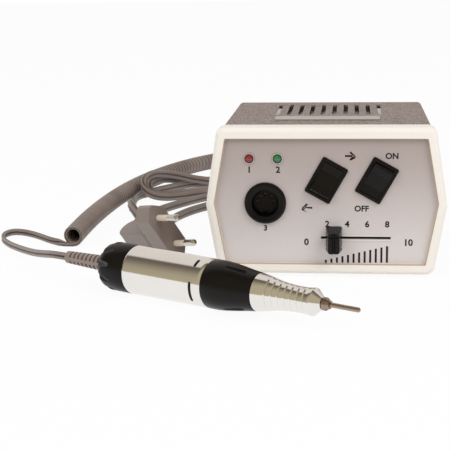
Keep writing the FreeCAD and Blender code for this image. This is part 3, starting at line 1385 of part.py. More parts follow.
def make_nose():
    """The waisted nose cone with its turned grooves, screwed into the grip."""
    bore = HOUSING_R + BODY_GAP
    tip_bore = SPINDLE_R + BODY_GAP
    outline = []
    for share in (0.0, 0.3, 0.65):
        along = share * NOSE_GROOVE_START
        outline.append((GRIP_END + along, nose_radius(along)))
    room = NOSE_LENGTH - NOSE_GROOVE_START - NOSE_GROOVE
    for index in range(min(NOSE_GROOVES, int(room / NOSE_GROOVE_PITCH) + 1)):
        middle = NOSE_GROOVE_START + index * NOSE_GROOVE_PITCH
        for offset, depth in ((-0.5, 0), (-0.2, 1), (0.2, 1), (0.5, 0)):
            along = middle + offset * NOSE_GROOVE
            outline.append((GRIP_END + along, nose_radius(along) - depth * NOSE_GROOVE_DEPTH))
    nose = turned([(GRIP_END - NOSE_SPIGOT, bore), (GRIP_END - NOSE_SPIGOT, GRIP_BORE_R - SLIP),
                   (GRIP_END, GRIP_BORE_R - SLIP)] + outline +
                  [(NOSE_END - NOSE_CHAMFER, NOSE_FRONT_R), (NOSE_END, NOSE_FRONT_R - NOSE_CHAMFER),
                   (NOSE_TIP_END - 0.6, NOSE_TIP_R + 0.5),
                   (NOSE_TIP_END - 0.3, NOSE_TIP_R), (NOSE_TIP_END - 0.3, tip_bore),
                   (HOUSING_FRONT + 1, tip_bore), (HOUSING_FRONT + 1, bore)])
    return nose


def make_collet():
    """The split collet: a stepped head in front of the spindle and a stem inside it."""
    start = NOSE_TIP_END + BODY_GAP
    stem_r = SPINDLE_R - SPINDLE_WALL - SLIP
    collet = turned([(start - COLLET_STEM, BIT_R + SLIP / 2), (start - COLLET_STEM, stem_r), (start, stem_r),
                     (start, COLLET_HEAD_R),
                     (start + 1.5, COLLET_HEAD_R), (start + 1.7, COLLET_HEAD_R - 0.5),
                     (start + COLLET_HEAD, COLLET_NOSE_R),
                     (start + COLLET_HEAD, BIT_R + SLIP / 2)])
    for index in range(COLLET_SLOTS):
        slot = box(start - COLLET_STEM + 6, start + COLLET_HEAD + 1, -COLLET_SLOT / 2, COLLET_SLOT / 2, 0,
                   COLLET_HEAD_R + 1)
        slot.rotate(V(0, 0, 0), V(1, 0, 0), 360 * index / COLLET_SLOTS + 30)
        collet = collet.cut(slot)
    return collet


def make_bit():
    """The plain shank of a bit with a rounded tip."""
    start = NOSE_TIP_END + BODY_GAP + COLLET_HEAD - BIT_INSIDE
    end = start + BIT_LENGTH
    shank = turned_cone(start, end - BIT_R, BIT_R, BIT_R)
    return join([shank, Part.makeSphere(BIT_R, V(end - BIT_R, 0, 0))])


def vectors(route):
    """A route's points as vectors."""
    return [V(*point) for point in route]


def arc_route(points, name):
    """Straight runs joined by tangent arcs, and the length of the whole."""
    edges = []
    length = 0
    smallest = None
    last = points[0]
    for index in range(1, len(points) - 1):
        corner = points[index]
        back = points[index - 1] - corner
        ahead = points[index + 1] - corner
        run = min(back.Length, ahead.Length)
        turn = pi - back.getAngle(ahead)
        radius = 0.45 * run / tan(turn / 2)
        smallest = radius if smallest is None else min(smallest, radius)
        print(name, "bend", index, "turn", round(degrees(turn)), "radius", round(radius, 1))
        back.normalize()
        ahead.normalize()
        reach = 0.45 * run
        first, final = corner + back * reach, corner + ahead * reach
        middle = back + ahead
        middle.normalize()
        peak = corner + middle * (radius / cos(turn / 2) - radius)
        edges.append(Part.LineSegment(last, first).toShape())
        edges.append(Part.Arc(first, peak, final).toShape())
        length += (first - last).Length + radius * turn
        last = final
    edges.append(Part.LineSegment(last, points[-1]).toShape())
    length += (points[-1] - last).Length
    print(name, "length", round(length, 1), "smallest radius", round(smallest, 1))
    return Part.Wire(edges), length


def swept(wire, start, direction, radius):
    """A round tube along a wire."""
    ring = Part.Wire(Part.Circle(start, direction, radius).toShape())
    return wire.makePipeShell([ring], True, False)


def cord_tube(route, radius, name):
    """A free stretch of cord along its route."""
    points = vectors(route)
    wire, length = arc_route(points, name)
    tube = swept(wire, points[0], points[1] - points[0], radius)
    print(name, "volume against section times length", round(tube.Volume / (pi * radius ** 2 * length), 4))
    return tube


def spline_point(points, share):
    """A point and direction of the quadratic curve that the axis points control, share from 0 to 1."""
    spans = len(points) - 2
    place = share * spans
    index = min(int(place), spans - 1)
    t = place - index
    start = points[0] if index == 0 else (points[index] + points[index + 1]) * 0.5
    end = points[-1] if index == spans - 1 else (points[index + 1] + points[index + 2]) * 0.5
    middle = points[index + 1]
    point = start * (1 - t) ** 2 + middle * (2 * t * (1 - t)) + end * t ** 2
    direction = (middle - start) * (2 * (1 - t)) + (end - middle) * (2 * t)
    direction.normalize()
    return point, direction


def curl_point(axis_points, table, turn):
    """A point of the curly cord after a number of turns, counted from the bottom, and its direction."""

    def place(at):
        share = share_at(table, at / CURL_TURNS)
        centre, forward = spline_point(axis_points, share)
        side = V(forward.y, -forward.x, 0)
        angle = 2 * pi * at
        return centre + (V(0, 0, -1) * cos(angle) + side * sin(angle)) * CURL_R

    step = 0.0005
    lower, upper = max(turn - step, 0), min(turn + step, CURL_TURNS)
    direction = place(upper) - place(lower)
    direction.normalize()
    return place(turn), direction


def length_table(axis_points, steps=600):
    """The curve's length up to evenly spaced shares."""
    table = [0.0]
    previous = spline_point(axis_points, 0)[0]
    for step in range(1, steps + 1):
        point = spline_point(axis_points, step / steps)[0]
        table.append(table[-1] + (point - previous).Length)
        previous = point
    return table


def share_at(table, part):
    """The curve's share at a part of its length."""
    target = part * table[-1]
    low, high = 0, len(table) - 1
    while high - low > 1:
        middle = (low + high) // 2
        if table[middle] <= target:
            low = middle
        else:
            high = middle
    inside = (target - table[low]) / (table[high] - table[low])
    return (low + inside) / (len(table) - 1)


def biarc_edges(p0, t0, p1, t1):
    """Two arcs that join two points with given directions."""
    gap = p1 - p0
    both = t0 + t1
    spread = 1 - t0.dot(t1)
    along = gap.dot(both)
    reach = (-along + sqrt(along ** 2 + 2 * spread * gap.dot(gap))) / (2 * spread)
    q0 = p0 + t0 * reach
    q1 = p1 - t1 * reach
    joint = (q0 + q1) * 0.5
    edges = []
    for start, corner, end in ((p0, q0, joint), (joint, q1, p1)):
        back, ahead = start - corner, end - corner
        turn = pi - back.getAngle(ahead)
        radius = reach / tan(turn / 2)
        middle = back * (1 / back.Length) + ahead * (1 / ahead.Length)
        middle.normalize()
        peak = corner + middle * (radius / cos(turn / 2) - radius)
        edges.append((Part.Arc(start, peak, end).toShape(), radius))
    return edges


def make_curly_cord():
    """The curly cord: one unbroken tube wound along its axis, with a straight end each side."""
    axis_points = [V(x, y, CURL_R + LEAD_R) for x, y in CURL_ROUTE]
    table = length_table(axis_points)
    halves = CURL_TURNS * 2
    knots = [curl_point(axis_points, table, half / 2) for half in range(halves + 1)]
    lead_in = vectors(LEAD_ROUTE)[-1]
    lead_out = vectors(PLUG_ROUTE)[0]
    knots[0] = (knots[0][0], (knots[0][0] - lead_in).normalize())
    knots[-1] = (knots[-1][0], (lead_out - knots[-1][0]).normalize())
    edges = [Part.LineSegment(lead_in, knots[0][0]).toShape()]
    smallest = 1e9
    for (p0, t0), (p1, t1) in zip(knots, knots[1:]):
        for edge, radius in biarc_edges(p0, t0, p1, t1):
            edges.append(edge)
            smallest = min(smallest, radius)
    edges.append(Part.LineSegment(knots[-1][0], lead_out).toShape())
    wire = Part.Wire(edges)
    cord = swept(wire, lead_in, knots[0][0] - lead_in, LEAD_R)
    samples = []
    for edge in edges:
        samples += edge.discretize(7)[:-1]
    steps = [0.0]
    for first, second in zip(samples, samples[1:]):
        steps.append(steps[-1] + (second - first).Length)
    closest = 1e9
    for i in range(len(samples)):
        for j in range(i + 6, min(i + 90, len(samples))):
            if steps[j] - steps[i] > 4 * LEAD_R:
                closest = min(closest, (samples[i] - samples[j]).Length)
    print("curly cord axis", round(table[-1], 1), "cord", round(wire.Length, 1), "smallest radius",
          round(smallest, 2),
          "gap to itself", round(closest - 2 * LEAD_R, 2), "volume ratio",
          round(cord.Volume / (pi * LEAD_R ** 2 * wire.Length), 4))
    return cord


def din_point(x):
    """A point on the handpiece cord plug's axis."""
    end = vectors(PLUG_ROUTE)[-1]
    return V(end.x + x, end.y, end.z)


def make_din_relief():
    """The short relief where the lead enters its plug."""
    length = PLUG_RELIEF_LENGTH
    relief = cone(LEAD_R + 1.2, LEAD_R + 2.6, din_point(0), din_point(length))
    for index in range(3):
        x = 2.5 + index * 2.8
        ring = rod(6, din_point(x),
                   din_point(x + 1)).cut(rod(LEAD_R + 0.7, din_point(x - 1), din_point(x + 2)))
        relief = relief.cut(ring)
    return relief


def make_din_grip():
    """The plug's moulded grip."""
    start = PLUG_RELIEF_LENGTH
    end = start + PLUG_GRIP_LENGTH
    grip = cone(PLUG_GRIP_R - 1.2, PLUG_GRIP_R, din_point(start),
                din_point(start + 3)).fuse(rod(PLUG_GRIP_R, din_point(start + 3), din_point(end)))
    for index in range(5):
        x = start + 8 + index * 3
        ring = rod(PLUG_GRIP_R + 2, din_point(x),
                   din_point(x + 1.2)).cut(rod(PLUG_GRIP_R - 0.7, din_point(x - 1), din_point(x + 3)))
        grip = grip.cut(ring)
    return grip.removeSplitter()


def make_din_shell():
    """The plug's metal shell."""
    start = PLUG_RELIEF_LENGTH + PLUG_GRIP_LENGTH
    end = start + PLUG_SHELL_LENGTH
    shell = rod(PLUG_SHELL_R, din_point(start), din_point(end))
    return shell.cut(rod(PLUG_SHELL_R - PLUG_SHELL_WALL, din_point(start - 1), din_point(end + 1)))


def make_din_pins():
    """The plug's five contact pins."""
    start = PLUG_RELIEF_LENGTH + PLUG_GRIP_LENGTH
    pins = []
    for index in range(PIN_COUNT):
        angle = radians(90 + (index - (PIN_COUNT - 1) / 2) * PIN_STEP_DEG)
        out = V(0, cos(angle), sin(angle)) * PIN_CIRCLE_R
        pins.append(rod(PLUG_PIN_R, din_point(start) + out, din_point(start + PLUG_SHELL_LENGTH - 1) + out))
    return group(pins)


def place_mains_plug(shape):
    """Turn a plug part (length along X, pins along Z) and set it where the plug lies."""
    long_axis = V(MAINS_PLUG_LONG).normalize()
    pin_axis = V(MAINS_PLUG_PINS)
    pin_axis = (pin_axis - long_axis * pin_axis.dot(long_axis)).normalize()
    across = pin_axis.cross(long_axis)
    matrix = FreeCAD.Matrix(long_axis.x, across.x, pin_axis.x, MAINS_PLUG_FACE.x,
                            long_axis.y, across.y, pin_axis.y, MAINS_PLUG_FACE.y,
                            long_axis.z, across.z, pin_axis.z, MAINS_PLUG_FACE.z)
    placed = shape.copy()
    placed.Placement = FreeCAD.Placement(matrix)
    return placed


def make_mains_plug_body():
    """The plug's moulded body: a six sided face block, a round backed grip behind it and the cord's outlet."""
    corners = [V(-FACE_HALF_LENGTH, FACE_CORNER, 0), V(-FACE_FLAT_HALF, FACE_HALF_WIDTH, 0),
               V(FACE_FLAT_HALF, FACE_HALF_WIDTH, 0),
               V(FACE_HALF_LENGTH, FACE_CORNER, 0), V(FACE_HALF_LENGTH, -FACE_CORNER, 0),
               V(FACE_FLAT_HALF, -FACE_HALF_WIDTH, 0),
               V(-FACE_FLAT_HALF, -FACE_HALF_WIDTH, 0), V(-FACE_HALF_LENGTH, -FACE_CORNER, 0)]
    block = prism(rounded_wire(corners, [0.8, 1.5, 1.5, 0.8, 0.8, 1.5, 1.5, 0.8]), V(0, 0, -BLOCK_DEPTH))
    face_edges = [edge for edge in block.Edges if edge.BoundBox.ZMin > -0.01 or edge.BoundBox.ZMax < -BLOCK_DEPTH + 0.01]
    block = block.makeFillet(BLOCK_EDGE_R * 0.7, face_edges)
    slab = box(-GRIP_TOP, GRIP_BOTTOM, -GRIP_HALF_WIDTH, GRIP_HALF_WIDTH, -GRIP_DEPTH, -BLOCK_DEPTH + 1)
    back = rod(GRIP_HALF_WIDTH, V(-GRIP_TOP, 0, -GRIP_DEPTH), V(GRIP_BOTTOM, 0, -GRIP_DEPTH))
    grip = slab.fuse(back).removeSplitter()
    end_edges = [edge for edge in grip.Edges if edge.BoundBox.XLength < 0.01 and edge.BoundBox.ZMax < -BLOCK_DEPTH + 1]
    grip = grip.makeFillet(BLOCK_EDGE_R, end_edges)
    for depth in (BLOCK_DEPTH + 0.7, BLOCK_DEPTH + 2.4):
        outer = box(-20, 20, -20, 20, -depth - GRIP_GROOVE, -depth)
        inner = box(-GRIP_TOP + GRIP_GROOVE, GRIP_BOTTOM - GRIP_GROOVE, -GRIP_HALF_WIDTH + GRIP_GROOVE,
                    GRIP_HALF_WIDTH - GRIP_GROOVE,
                    -depth - 2, -depth + 2)
        grip = grip.cut(outer.cut(inner))
    body = block.fuse(grip)
    for side in (-1, 1):
        start = V(side * PRONG_HALF_SPACING, 0, 0)
        lean = V(side * (PRONG_TIP_HALF_SPACING - PRONG_HALF_SPACING) / PRONG_LENGTH, 0, 1)
        body = body.cut(rod(PRONG_ROOT_R + SLIP / 2, start - lean * 6, start + lean * 2))
    mouth = vectors(MAINS_ROUTE)[-1]
    inwards = (mouth - vectors(MAINS_ROUTE)[-2]).normalize()
    outlet = cone(OUTLET_TIP_R, OUTLET_R, mouth, mouth + inwards * OUTLET_LENGTH)
    return place_mains_plug(body).fuse(outlet).removeSplitter()


def prong_line(side, distance):
    """A point on one pin's axis, at a distance from the plug's face."""
    lean = (PRONG_TIP_HALF_SPACING - PRONG_HALF_SPACING) / PRONG_LENGTH
    return V(side * (PRONG_HALF_SPACING + lean * distance), 0, distance)


def make_prongs():
    """The two contact pins: thin under the sleeve, full size and rounded at the tip."""
    prongs = []
    for side in (-1, 1):
        root = rod(PRONG_ROOT_R, prong_line(side, -5.5), prong_line(side, -0.2))
        neck = rod(PRONG_SLEEVE_R - 0.5, prong_line(side, -1), prong_line(side, PRONG_SLEEVE + 0.5))
        tip = rod(PRONG_R, prong_line(side, PRONG_SLEEVE), prong_line(side, PRONG_LENGTH - PRONG_R))
        end = Part.makeSphere(PRONG_R, prong_line(side, PRONG_LENGTH - PRONG_R))
        prongs.append(place_mains_plug(join([root, neck, tip, end])))
    return group(prongs)


def make_prong_sleeves():
    """The insulating sleeves on the pins."""
    sleeves = []
    for side in (-1, 1):
        outer = rod(PRONG_SLEEVE_R, prong_line(side, 0), prong_line(side, PRONG_SLEEVE))
        sleeves.append(place_mains_plug(outer.cut(rod(PRONG_SLEEVE_R - 0.5 + SLIP / 2, prong_line(side, -1),
                                                      prong_line(side, PRONG_SLEEVE + 1)))))
    return group(sleeves)


def make_control_box():
    """Every node of the control box."""
    save("front_bezel", make_bezel())
    save("top_cover", make_cover())
    save("bottom_tray", make_bottom_tray())
    save("vent_tray", make_vent_tray())
    save("name_plate", make_name_plate())
    save("rubber_feet", make_feet())
    save("case_screws", make_case_screws())
    save("front_panel", make_front_panel())
    save("rear_panel", make_rear_panel())
    save("led_red", make_led(RED_LED_X))
    save("led_green", make_led(GREEN_LED_X))
    save("led_holders", make_led_rings())
    save("din_socket_body", make_socket_body())
    save("din_socket_insert", make_socket_insert())
    save("din_socket_contacts", make_socket_contacts())
    save("din_socket_nut", make_socket_nut())
    frame = make_switch_frame()
    save("direction_switch_frame", place_switch(frame, DIRECTION_X))
    save("power_switch_frame", place_switch(frame, POWER_X))
    save("direction_rocker", rocker_at(DIRECTION_X, -ROCKER_SWING_DEG))
    save("power_rocker", rocker_at(POWER_X, ROCKER_SWING_DEG))
    save("switch_terminals", make_terminals())
    save("slide_pot_body", make_pot_body())
    save("slider_lever", make_lever())
    save("slider_knob", make_knob())
    save("circuit_board", make_main_board())
    save("board_standoffs", make_standoffs())
    save("capacitor", make_capacitor())
    save("heat_sink", make_heat_sink())
    save("power_transistor", make_transistor())
    save("transformer_core", make_core())
    save("transformer_coil", make_winding())
    save("transformer_bracket", make_bracket())
    save("inner_screws", make_inner_screws())
    save("mains_bush", make_bush())


def make_handpiece():
    """Every node of the handpiece."""
    save("cord_relief", place_handpiece(make_relief()))
    save("rear_cap", place_handpiece(make_rear_cap()))
    save("motor_barrel", place_handpiece(make_barrel()))
    save("motor_can", place_handpiece(make_motor_can()))
    save("motor_rotor", place_handpiece(make_rotor()))
    save("bearing_outer_rings", place_handpiece(make_outer_rings()))
    save("bearing_inner_rings", place_handpiece(make_inner_rings()))
    save("shaft_coupling", place_handpiece(make_coupling()))
    save("spindle_housing", place_handpiece(make_housing()))
    save("spindle", place_handpiece(make_spindle()))
    save("grip_sleeve", place_handpiece(make_grip()))
    save("lock_ring", place_handpiece(make_lock_ring()))
    save("nose_cone", place_handpiece(make_nose()))
    save("collet", place_handpiece(make_collet()))
    save("drill_bit", place_handpiece(make_bit()))


def make_cords():
    """Every node of the cords and their plugs."""
    save("handpiece_lead", cord_tube(LEAD_ROUTE, LEAD_R, "handpiece lead"))
    save("curly_cord", make_curly_cord())
    save("plug_lead", cord_tube(PLUG_ROUTE, LEAD_R, "plug lead"))
    save("din_plug_grip", make_din_grip().fuse(make_din_relief()).removeSplitter())
    save("din_plug_shell", make_din_shell())
    save("din_plug_pins", make_din_pins())
    save("mains_cord", cord_tube(MAINS_ROUTE, MAINS_R, "mains cord"))
    save("mains_plug_body", make_mains_plug_body())
    save("mains_plug_pins", make_prongs())
    save("mains_plug_sleeves", make_prong_sleeves())


os.makedirs("parts", exist_ok=True)
make_control_box()
make_handpiece()
make_cords()
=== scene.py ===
"""Looks of the desktop nail drill machine: control box, handpiece, curly cord and mains cord."""

from __future__ import annotations

import json
import logging
from dataclasses import dataclass, field
from enum import Enum
from math import acos, copysign, cos, hypot, pi, radians, sin, sqrt
from typing import Iterable, Sequence

import bpy
from bpy.types import Material, Node, NodeSocket, NodeTree, Object
from mathutils import Matrix, Vector

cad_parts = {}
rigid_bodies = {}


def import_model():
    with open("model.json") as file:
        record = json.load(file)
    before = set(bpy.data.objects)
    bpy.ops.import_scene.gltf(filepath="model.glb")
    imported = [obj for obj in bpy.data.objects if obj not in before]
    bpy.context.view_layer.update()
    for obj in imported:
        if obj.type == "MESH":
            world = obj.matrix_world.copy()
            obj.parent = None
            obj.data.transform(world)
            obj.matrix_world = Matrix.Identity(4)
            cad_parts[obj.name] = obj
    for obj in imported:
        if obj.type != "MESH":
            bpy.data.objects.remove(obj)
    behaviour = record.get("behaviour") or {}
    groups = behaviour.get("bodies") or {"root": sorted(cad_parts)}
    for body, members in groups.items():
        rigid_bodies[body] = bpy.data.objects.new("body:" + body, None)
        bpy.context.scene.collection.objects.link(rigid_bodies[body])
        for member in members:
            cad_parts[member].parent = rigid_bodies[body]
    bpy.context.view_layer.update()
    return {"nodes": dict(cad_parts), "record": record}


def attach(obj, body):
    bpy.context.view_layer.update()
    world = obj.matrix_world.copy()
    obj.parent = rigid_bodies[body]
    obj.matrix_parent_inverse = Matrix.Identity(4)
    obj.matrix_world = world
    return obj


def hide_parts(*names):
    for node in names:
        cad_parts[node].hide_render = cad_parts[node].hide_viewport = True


LOG = logging.getLogger("nail_drill")
MM = 0.001
Colour = tuple[float, float, float]
Point = tuple[float, float, float]
Tint = Colour | NodeSocket
Station = tuple[float, float]
WHITE: Colour = (1.0, 1.0, 1.0)


def srgb(red: float, green: float, blue: float) -> Colour:
    """Turn a screen colour into a shader colour.

    Args:
        red: Red from 0 to 255.
        green: Green from 0 to 255.
        blue: Blue from 0 to 255.

    Returns:
        The colour in linear light.
    """

    def linear(level: float) -> float:
        """Return one channel in linear light."""
        share = level / 255
        return share / 12.92 if share <= 0.04045 else ((share + 0.055) / 1.055) ** 2.4

    return linear(red), linear(green), linear(blue)


def shade(colour: Colour, share: float) -> Colour:
    """Return a colour times a share, up to full brightness."""
    return tuple(min(1.0, channel * share) for channel in colour)


class Value:
    """A shader socket that takes part in Python arithmetic."""

    def __init__(self, graph: Graph, socket: NodeSocket) -> None:
        """Keep the socket and the graph it lives in."""
        self.graph = graph
        self.socket = socket

    def _math(self, operation: str, *others: Value | float) -> Value:
        """Add a Math node that takes self and the others in order."""
        return self.graph.value("ShaderNodeMath", {"operation": operation}, dict(enumerate((self, *others))))

    def __add__(self, other: Value | float) -> Value:
        """Return self + other."""
        return self._math("ADD", other)

    __radd__ = __add__

    def __sub__(self, other: Value | float) -> Value:
        """Return self - other."""
        return self._math("SUBTRACT", other)

    def __rsub__(self, other: float) -> Value:
        """Return other - self."""
        return (self * -1.0) + other

    def __mul__(self, other: Value | float) -> Value:
        """Return self * other."""
        return self._math("MULTIPLY", other)

    def __truediv__(self, other: Value | float) -> Value:
        """Return self / other."""
        return self._math("DIVIDE", other)

    def __abs__(self) -> Value:
        """Return the size of self."""
        return self._math("ABSOLUTE")

    def maximum(self, other: Value | float) -> Value:
        """Return the larger of the two."""
        return self._math("MAXIMUM", other)

    def ramp(self, low: float, high: float) -> Value:
        """Rise smoothly from 0 at low to 1 at high."""
        inputs = {0: self, 1: low, 2: high, 3: 0.0, 4: 1.0}
        return self.graph.value("ShaderNodeMapRange", {"interpolation_type": "SMOOTHSTEP"}, inputs)


class Graph:
    """A material's node tree, built one typed call at a time."""

    def __init__(self, tree: NodeTree) -> None:
        """Empty the tree and keep it."""
        self.tree = tree
        tree.nodes.clear()

    def node(self, kind: str, settings: dict | None = None, inputs: dict | None = None) -> Node:
        """Add a node.

        Args:
            kind: The node's type name.
            settings: Attributes set before the inputs.
            inputs: Values, sockets or links by input name or number.

        Returns:
            The new node.
        """
        made = self.tree.nodes.new(kind)
        for name, setting in (settings or {}).items():
            setattr(made, name, setting)
        for key, given in (inputs or {}).items():
            socket = made.inputs[key]
            if isinstance(given, Value):
                self.tree.links.new(given.socket, socket)
            elif isinstance(given, NodeSocket):
                self.tree.links.new(given, socket)
            elif isinstance(given, tuple) and len(given) == 3 and socket.type == "RGBA":
                socket.default_value = (*given, 1.0)
            else:
                socket.default_value = given
        return made

    def value(
        self, kind: str, settings: dict | None = None, inputs: dict | None = None, output: int | str = 0
    ) -> Value:
        """Add a node, as in node(), and return one of its outputs as a value."""
        return Value(self, self.node(kind, settings, inputs).outputs[output])

    def ray(self, kind: str) -> Value:
        """Return whether the ray is of a kind, such as "Is Camera Ray"."""
        return self.value("ShaderNodeLightPath", output=kind)

    def place(self) -> NodeSocket:
        """Return the object coordinates."""
        return self.node("ShaderNodeTexCoord").outputs["Object"]

    def axes(self) -> tuple[Value, Value, Value]:
        """Return the object coordinates as three values."""
        split = self.node("ShaderNodeSeparateXYZ", inputs={0: self.place()})
        return tuple(Value(self, output) for output in split.outputs)

    def noise(self, scale: float, detail: float = 2.0, vector: NodeSocket | None = None) -> Value:
        """Add soft noise from 0 to 1, in object coordinates unless a vector is given."""
        inputs = {"Vector": vector or self.place(), "Scale": scale, "Detail": detail}
        return self.value("ShaderNodeTexNoise", inputs=inputs)

    def mix(self, share: Value | float, first: Tint, second: Tint) -> NodeSocket:
        """Mix two colours: the first where the share is 0, the second where it is 1."""
        node = self.node("ShaderNodeMix", {"data_type": "RGBA"}, {0: share, 6: first, 7: second})
        return node.outputs[2]

    def bump(self, height: Value, distance: float) -> NodeSocket:
        """Return the normal of a relief from 0 to 1 that is this deep in metres."""
        inputs = {"Height": height, "Distance": distance, "Strength": 1.0}
        return self.node("ShaderNodeBump", inputs=inputs).outputs[0]

    def surface(self, inputs: dict) -> None:
        """End the tree with a Principled shader that has these inputs."""
        shader = self.node("ShaderNodeBsdfPrincipled", inputs=inputs)
        self.node("ShaderNodeOutputMaterial", inputs={0: shader.outputs[0]})


@dataclass(frozen=True)
class Finish:
    """A surface finish that can make its own material."""

    name: str
    colour: Colour
    roughness: float = 0.5

    def paint(self, graph: Graph) -> None:
        """Fill the graph; each kind of finish has its own way."""
        raise NotImplementedError

    def material(self) -> Material:
        """Return this finish's material, made on the first call."""
        made = bpy.data.materials.get(self.name)
        if made is None:
            made = bpy.data.materials.new(self.name)
            made.use_nodes = True
            self.paint(Graph(made.node_tree))
        return made


@dataclass(frozen=True)
class Moulded(Finish):
    """Moulded plastic with a faint grain and patches of slightly different sheen."""

    coat: float = 0.0
    grain: float = 1400.0
    depth: float = 0.00003
    patch: float = 0.06
    sheen: float = 0.12
    specular: float = 0.5

    def paint(self, graph: Graph) -> None:
        """Vary the colour and sheen a little and add a fine grain."""
        cloud = graph.noise(35.0, 3.0)
        grain = graph.noise(self.grain, 2.0)
        darker, lighter = shade(self.colour, 1 - self.patch), shade(self.colour, 1 + self.patch)
        graph.surface({
            "Base Color": graph.mix(cloud, darker, lighter),
            "Roughness": self.roughness + (cloud - 0.5) * self.sheen,
            "Coat Weight": self.coat,
            "Coat Roughness": 0.12,
            "Specular IOR Level": self.specular,
            "Normal": graph.bump(grain, self.depth),
        })


@dataclass(frozen=True)
class Speckled(Finish):
    """Textured paint: a crackle of darker and lighter grains."""

    dark: Colour = (0.1, 0.1, 0.1)
    light: Colour = (0.6, 0.6, 0.6)
    scale: float = 900.0
    depth: float = 0.00015
    # A paler colour low down and the heights it fades over: painted light.
    painted_light_low_colour: Colour | None = None
    low: float = 0.0
    high: float = 0.08
    strength: float = 1.0
    dark_below: float = 0.46
    dark_edge: float = 0.12
    light_above: float = 0.6
    light_edge: float = 0.15
    spot_ratio: float = 2.1

    def paint(self, graph: Graph) -> None:
        """Scatter the grains and, where asked, paint light into the colour: paler low down, fading to the
        paint's own colour higher up.
        """
        place = graph.place()
        grains = graph.noise(self.scale, 3.0, place)
        spots = graph.noise(self.scale * self.spot_ratio, 1.0, place)
        _, _, height = graph.axes()
        base = self.colour
        # Painted light: blend from the paler colour at the bottom up to the paint's own colour.
        if self.painted_light_low_colour is not None:
            base = graph.mix(height.ramp(self.low, self.high), self.painted_light_low_colour, self.colour)
        darkening = (self.dark_below - grains).ramp(0.0, self.dark_edge) * self.strength
        lightening = (spots - self.light_above).ramp(0.0, self.light_edge) * self.strength
        graph.surface({
            "Base Color": graph.mix(lightening, graph.mix(darkening, base, self.dark), self.light),
            "Roughness": self.roughness + (grains - 0.5) * 0.3,
            "Normal": graph.bump(grains, self.depth),
        })


@dataclass(frozen=True)
class Metal(Finish):
    """Bare or plated metal with turning or rolling lines."""

    lines: Point = (400.0, 400.0, 400.0)
    wear: float = 0.1
    depth: float = 0.000004
    line_swing: float = 0.12
    smudge_scale: float = 60.0
    smudge_swing: float = 0.08

    def relief(self, graph: Graph) -> Value:
        """Stretch noise into lines."""
        stretch = graph.node("ShaderNodeMapping", inputs={0: graph.place(), "Scale": self.lines})
        return graph.noise(1.0, 3.0, stretch.outputs[0])

    def paint(self, graph: Graph) -> None:
        """Vary the sheen with the lines, and smudge it softly."""
        lines, smudge = self.relief(graph), graph.noise(self.smudge_scale, 3.0)
        sheen = self.roughness + (lines - 0.5) * self.line_swing
        graph.surface({
            "Base Color": graph.mix(smudge, self.colour, shade(self.colour, 1 - self.wear)),
            "Metallic": 1.0,
            "Roughness": sheen + (smudge - 0.5) * self.smudge_swing,
            "Normal": graph.bump(lines, self.depth),
        })


@dataclass(frozen=True)
class TurnedMetal(Metal):
    """Turned metal on the handpiece's axis, with fine rings along its length."""

    axis: Point = (1.0, 0.0, 0.0)
    rings: float = 2600.0
    wear: float = 0.08
    depth: float = 0.000002
    line_swing: float = 0.08
    smudge_scale: float = 70.0
    smudge_swing: float = 0.06

    def relief(self, graph: Graph) -> Value:
        """Make fine rings from the distance along the axis."""
        ends = {0: graph.place(), 1: self.axis}
        along = graph.value("ShaderNodeVectorMath", {"operation": "DOT_PRODUCT"}, ends, "Value")
        inputs = {"W": along, "Scale": self.rings, "Detail": 2.0}
        return graph.value("ShaderNodeTexNoise", {"noise_dimensions": "1D"}, inputs)


@dataclass(frozen=True)
class Lens(Finish):
    """A tinted lamp lens with a painted glow in the middle and painted shade at its rim."""

    centre: Point = (0.0, 0.0, 0.0)
    glow: Colour = (1.0, 0.3, 0.3)
    radius: float = 0.00245

    def paint(self, graph: Graph) -> None:
        """Paint light and shade: a bright glowing core fading to a dark rim round the lens's centre."""
        across, _, up = graph.axes()
        side, rise = across - self.centre[0], up - self.centre[2]
        away = (side * side + rise * rise) / self.radius ** 2
        swirl = graph.noise(500.0, 2.0)
        # Painted glow and shade: the colour is the bright glow in the middle and darkens towards the rim.
        rim = (away + (swirl - 0.5) * 0.3).ramp(0.0, 1.1)
        graph.surface({
            "Base Color": graph.mix(rim, self.glow, self.colour),
            "Roughness": self.roughness,
            "Coat Weight": 1.0,
            "Coat Roughness": 0.05,
        })


@dataclass(frozen=True)
class Cable(Finish):
    """Flexible cord plastic with painted shade in the groove between the cord's two cores and along its
    edges.
    """

    rim: Colour = (0.1, 0.1, 0.1)
    groove_shade_colour: Colour = (0.02, 0.015, 0.013)

    def paint(self, graph: Graph) -> None:
        """Mottle the colour along and across the cord, paint shade into its groove and edges, and give it a
        soft sheen.
        """
        cloud = graph.noise(45.0, 3.0)
        fine = graph.noise(900.0, 2.0)
        groove = graph.value("ShaderNodeAttribute", {"attribute_name": "groove"}, output="Fac")
        mottled = graph.mix(cloud.ramp(0.3, 0.75), self.colour, self.rim)
        graph.surface({
            # Painted shade: darken the groove between the cores and the cord's edges, where the coil's turns
            # touch.
            "Base Color": graph.mix(groove.ramp(0.0, 0.9) * 0.85, mottled, self.groove_shade_colour),
            "Roughness": self.roughness + (fine - 0.5) * 0.12,
            "Coat Weight": 0.15,
            "Coat Roughness": 0.35,
            "Normal": graph.bump(fine, 0.00002),
        })


class Paint(Enum):
    """The finishes that CAD nodes take, by the record's material slot."""

    bezel = "bezel"
    cover_paint = "cover_paint"
    panel_paint = "panel_paint"
    plate = "plate"
    steel = "steel"
    bright = "bright"
    tin = "tin"
    barrel_metal = "barrel_metal"
    black_gloss = "black_gloss"
    black_matte = "black_matte"
    rubber = "rubber"
    cord = "cord"
    plug_plastic = "plug_plastic"
    cream = "cream"
    red_lens = "red_lens"
    green_lens = "green_lens"
    board = "board"
    copper = "copper"
    lamination = "lamination"


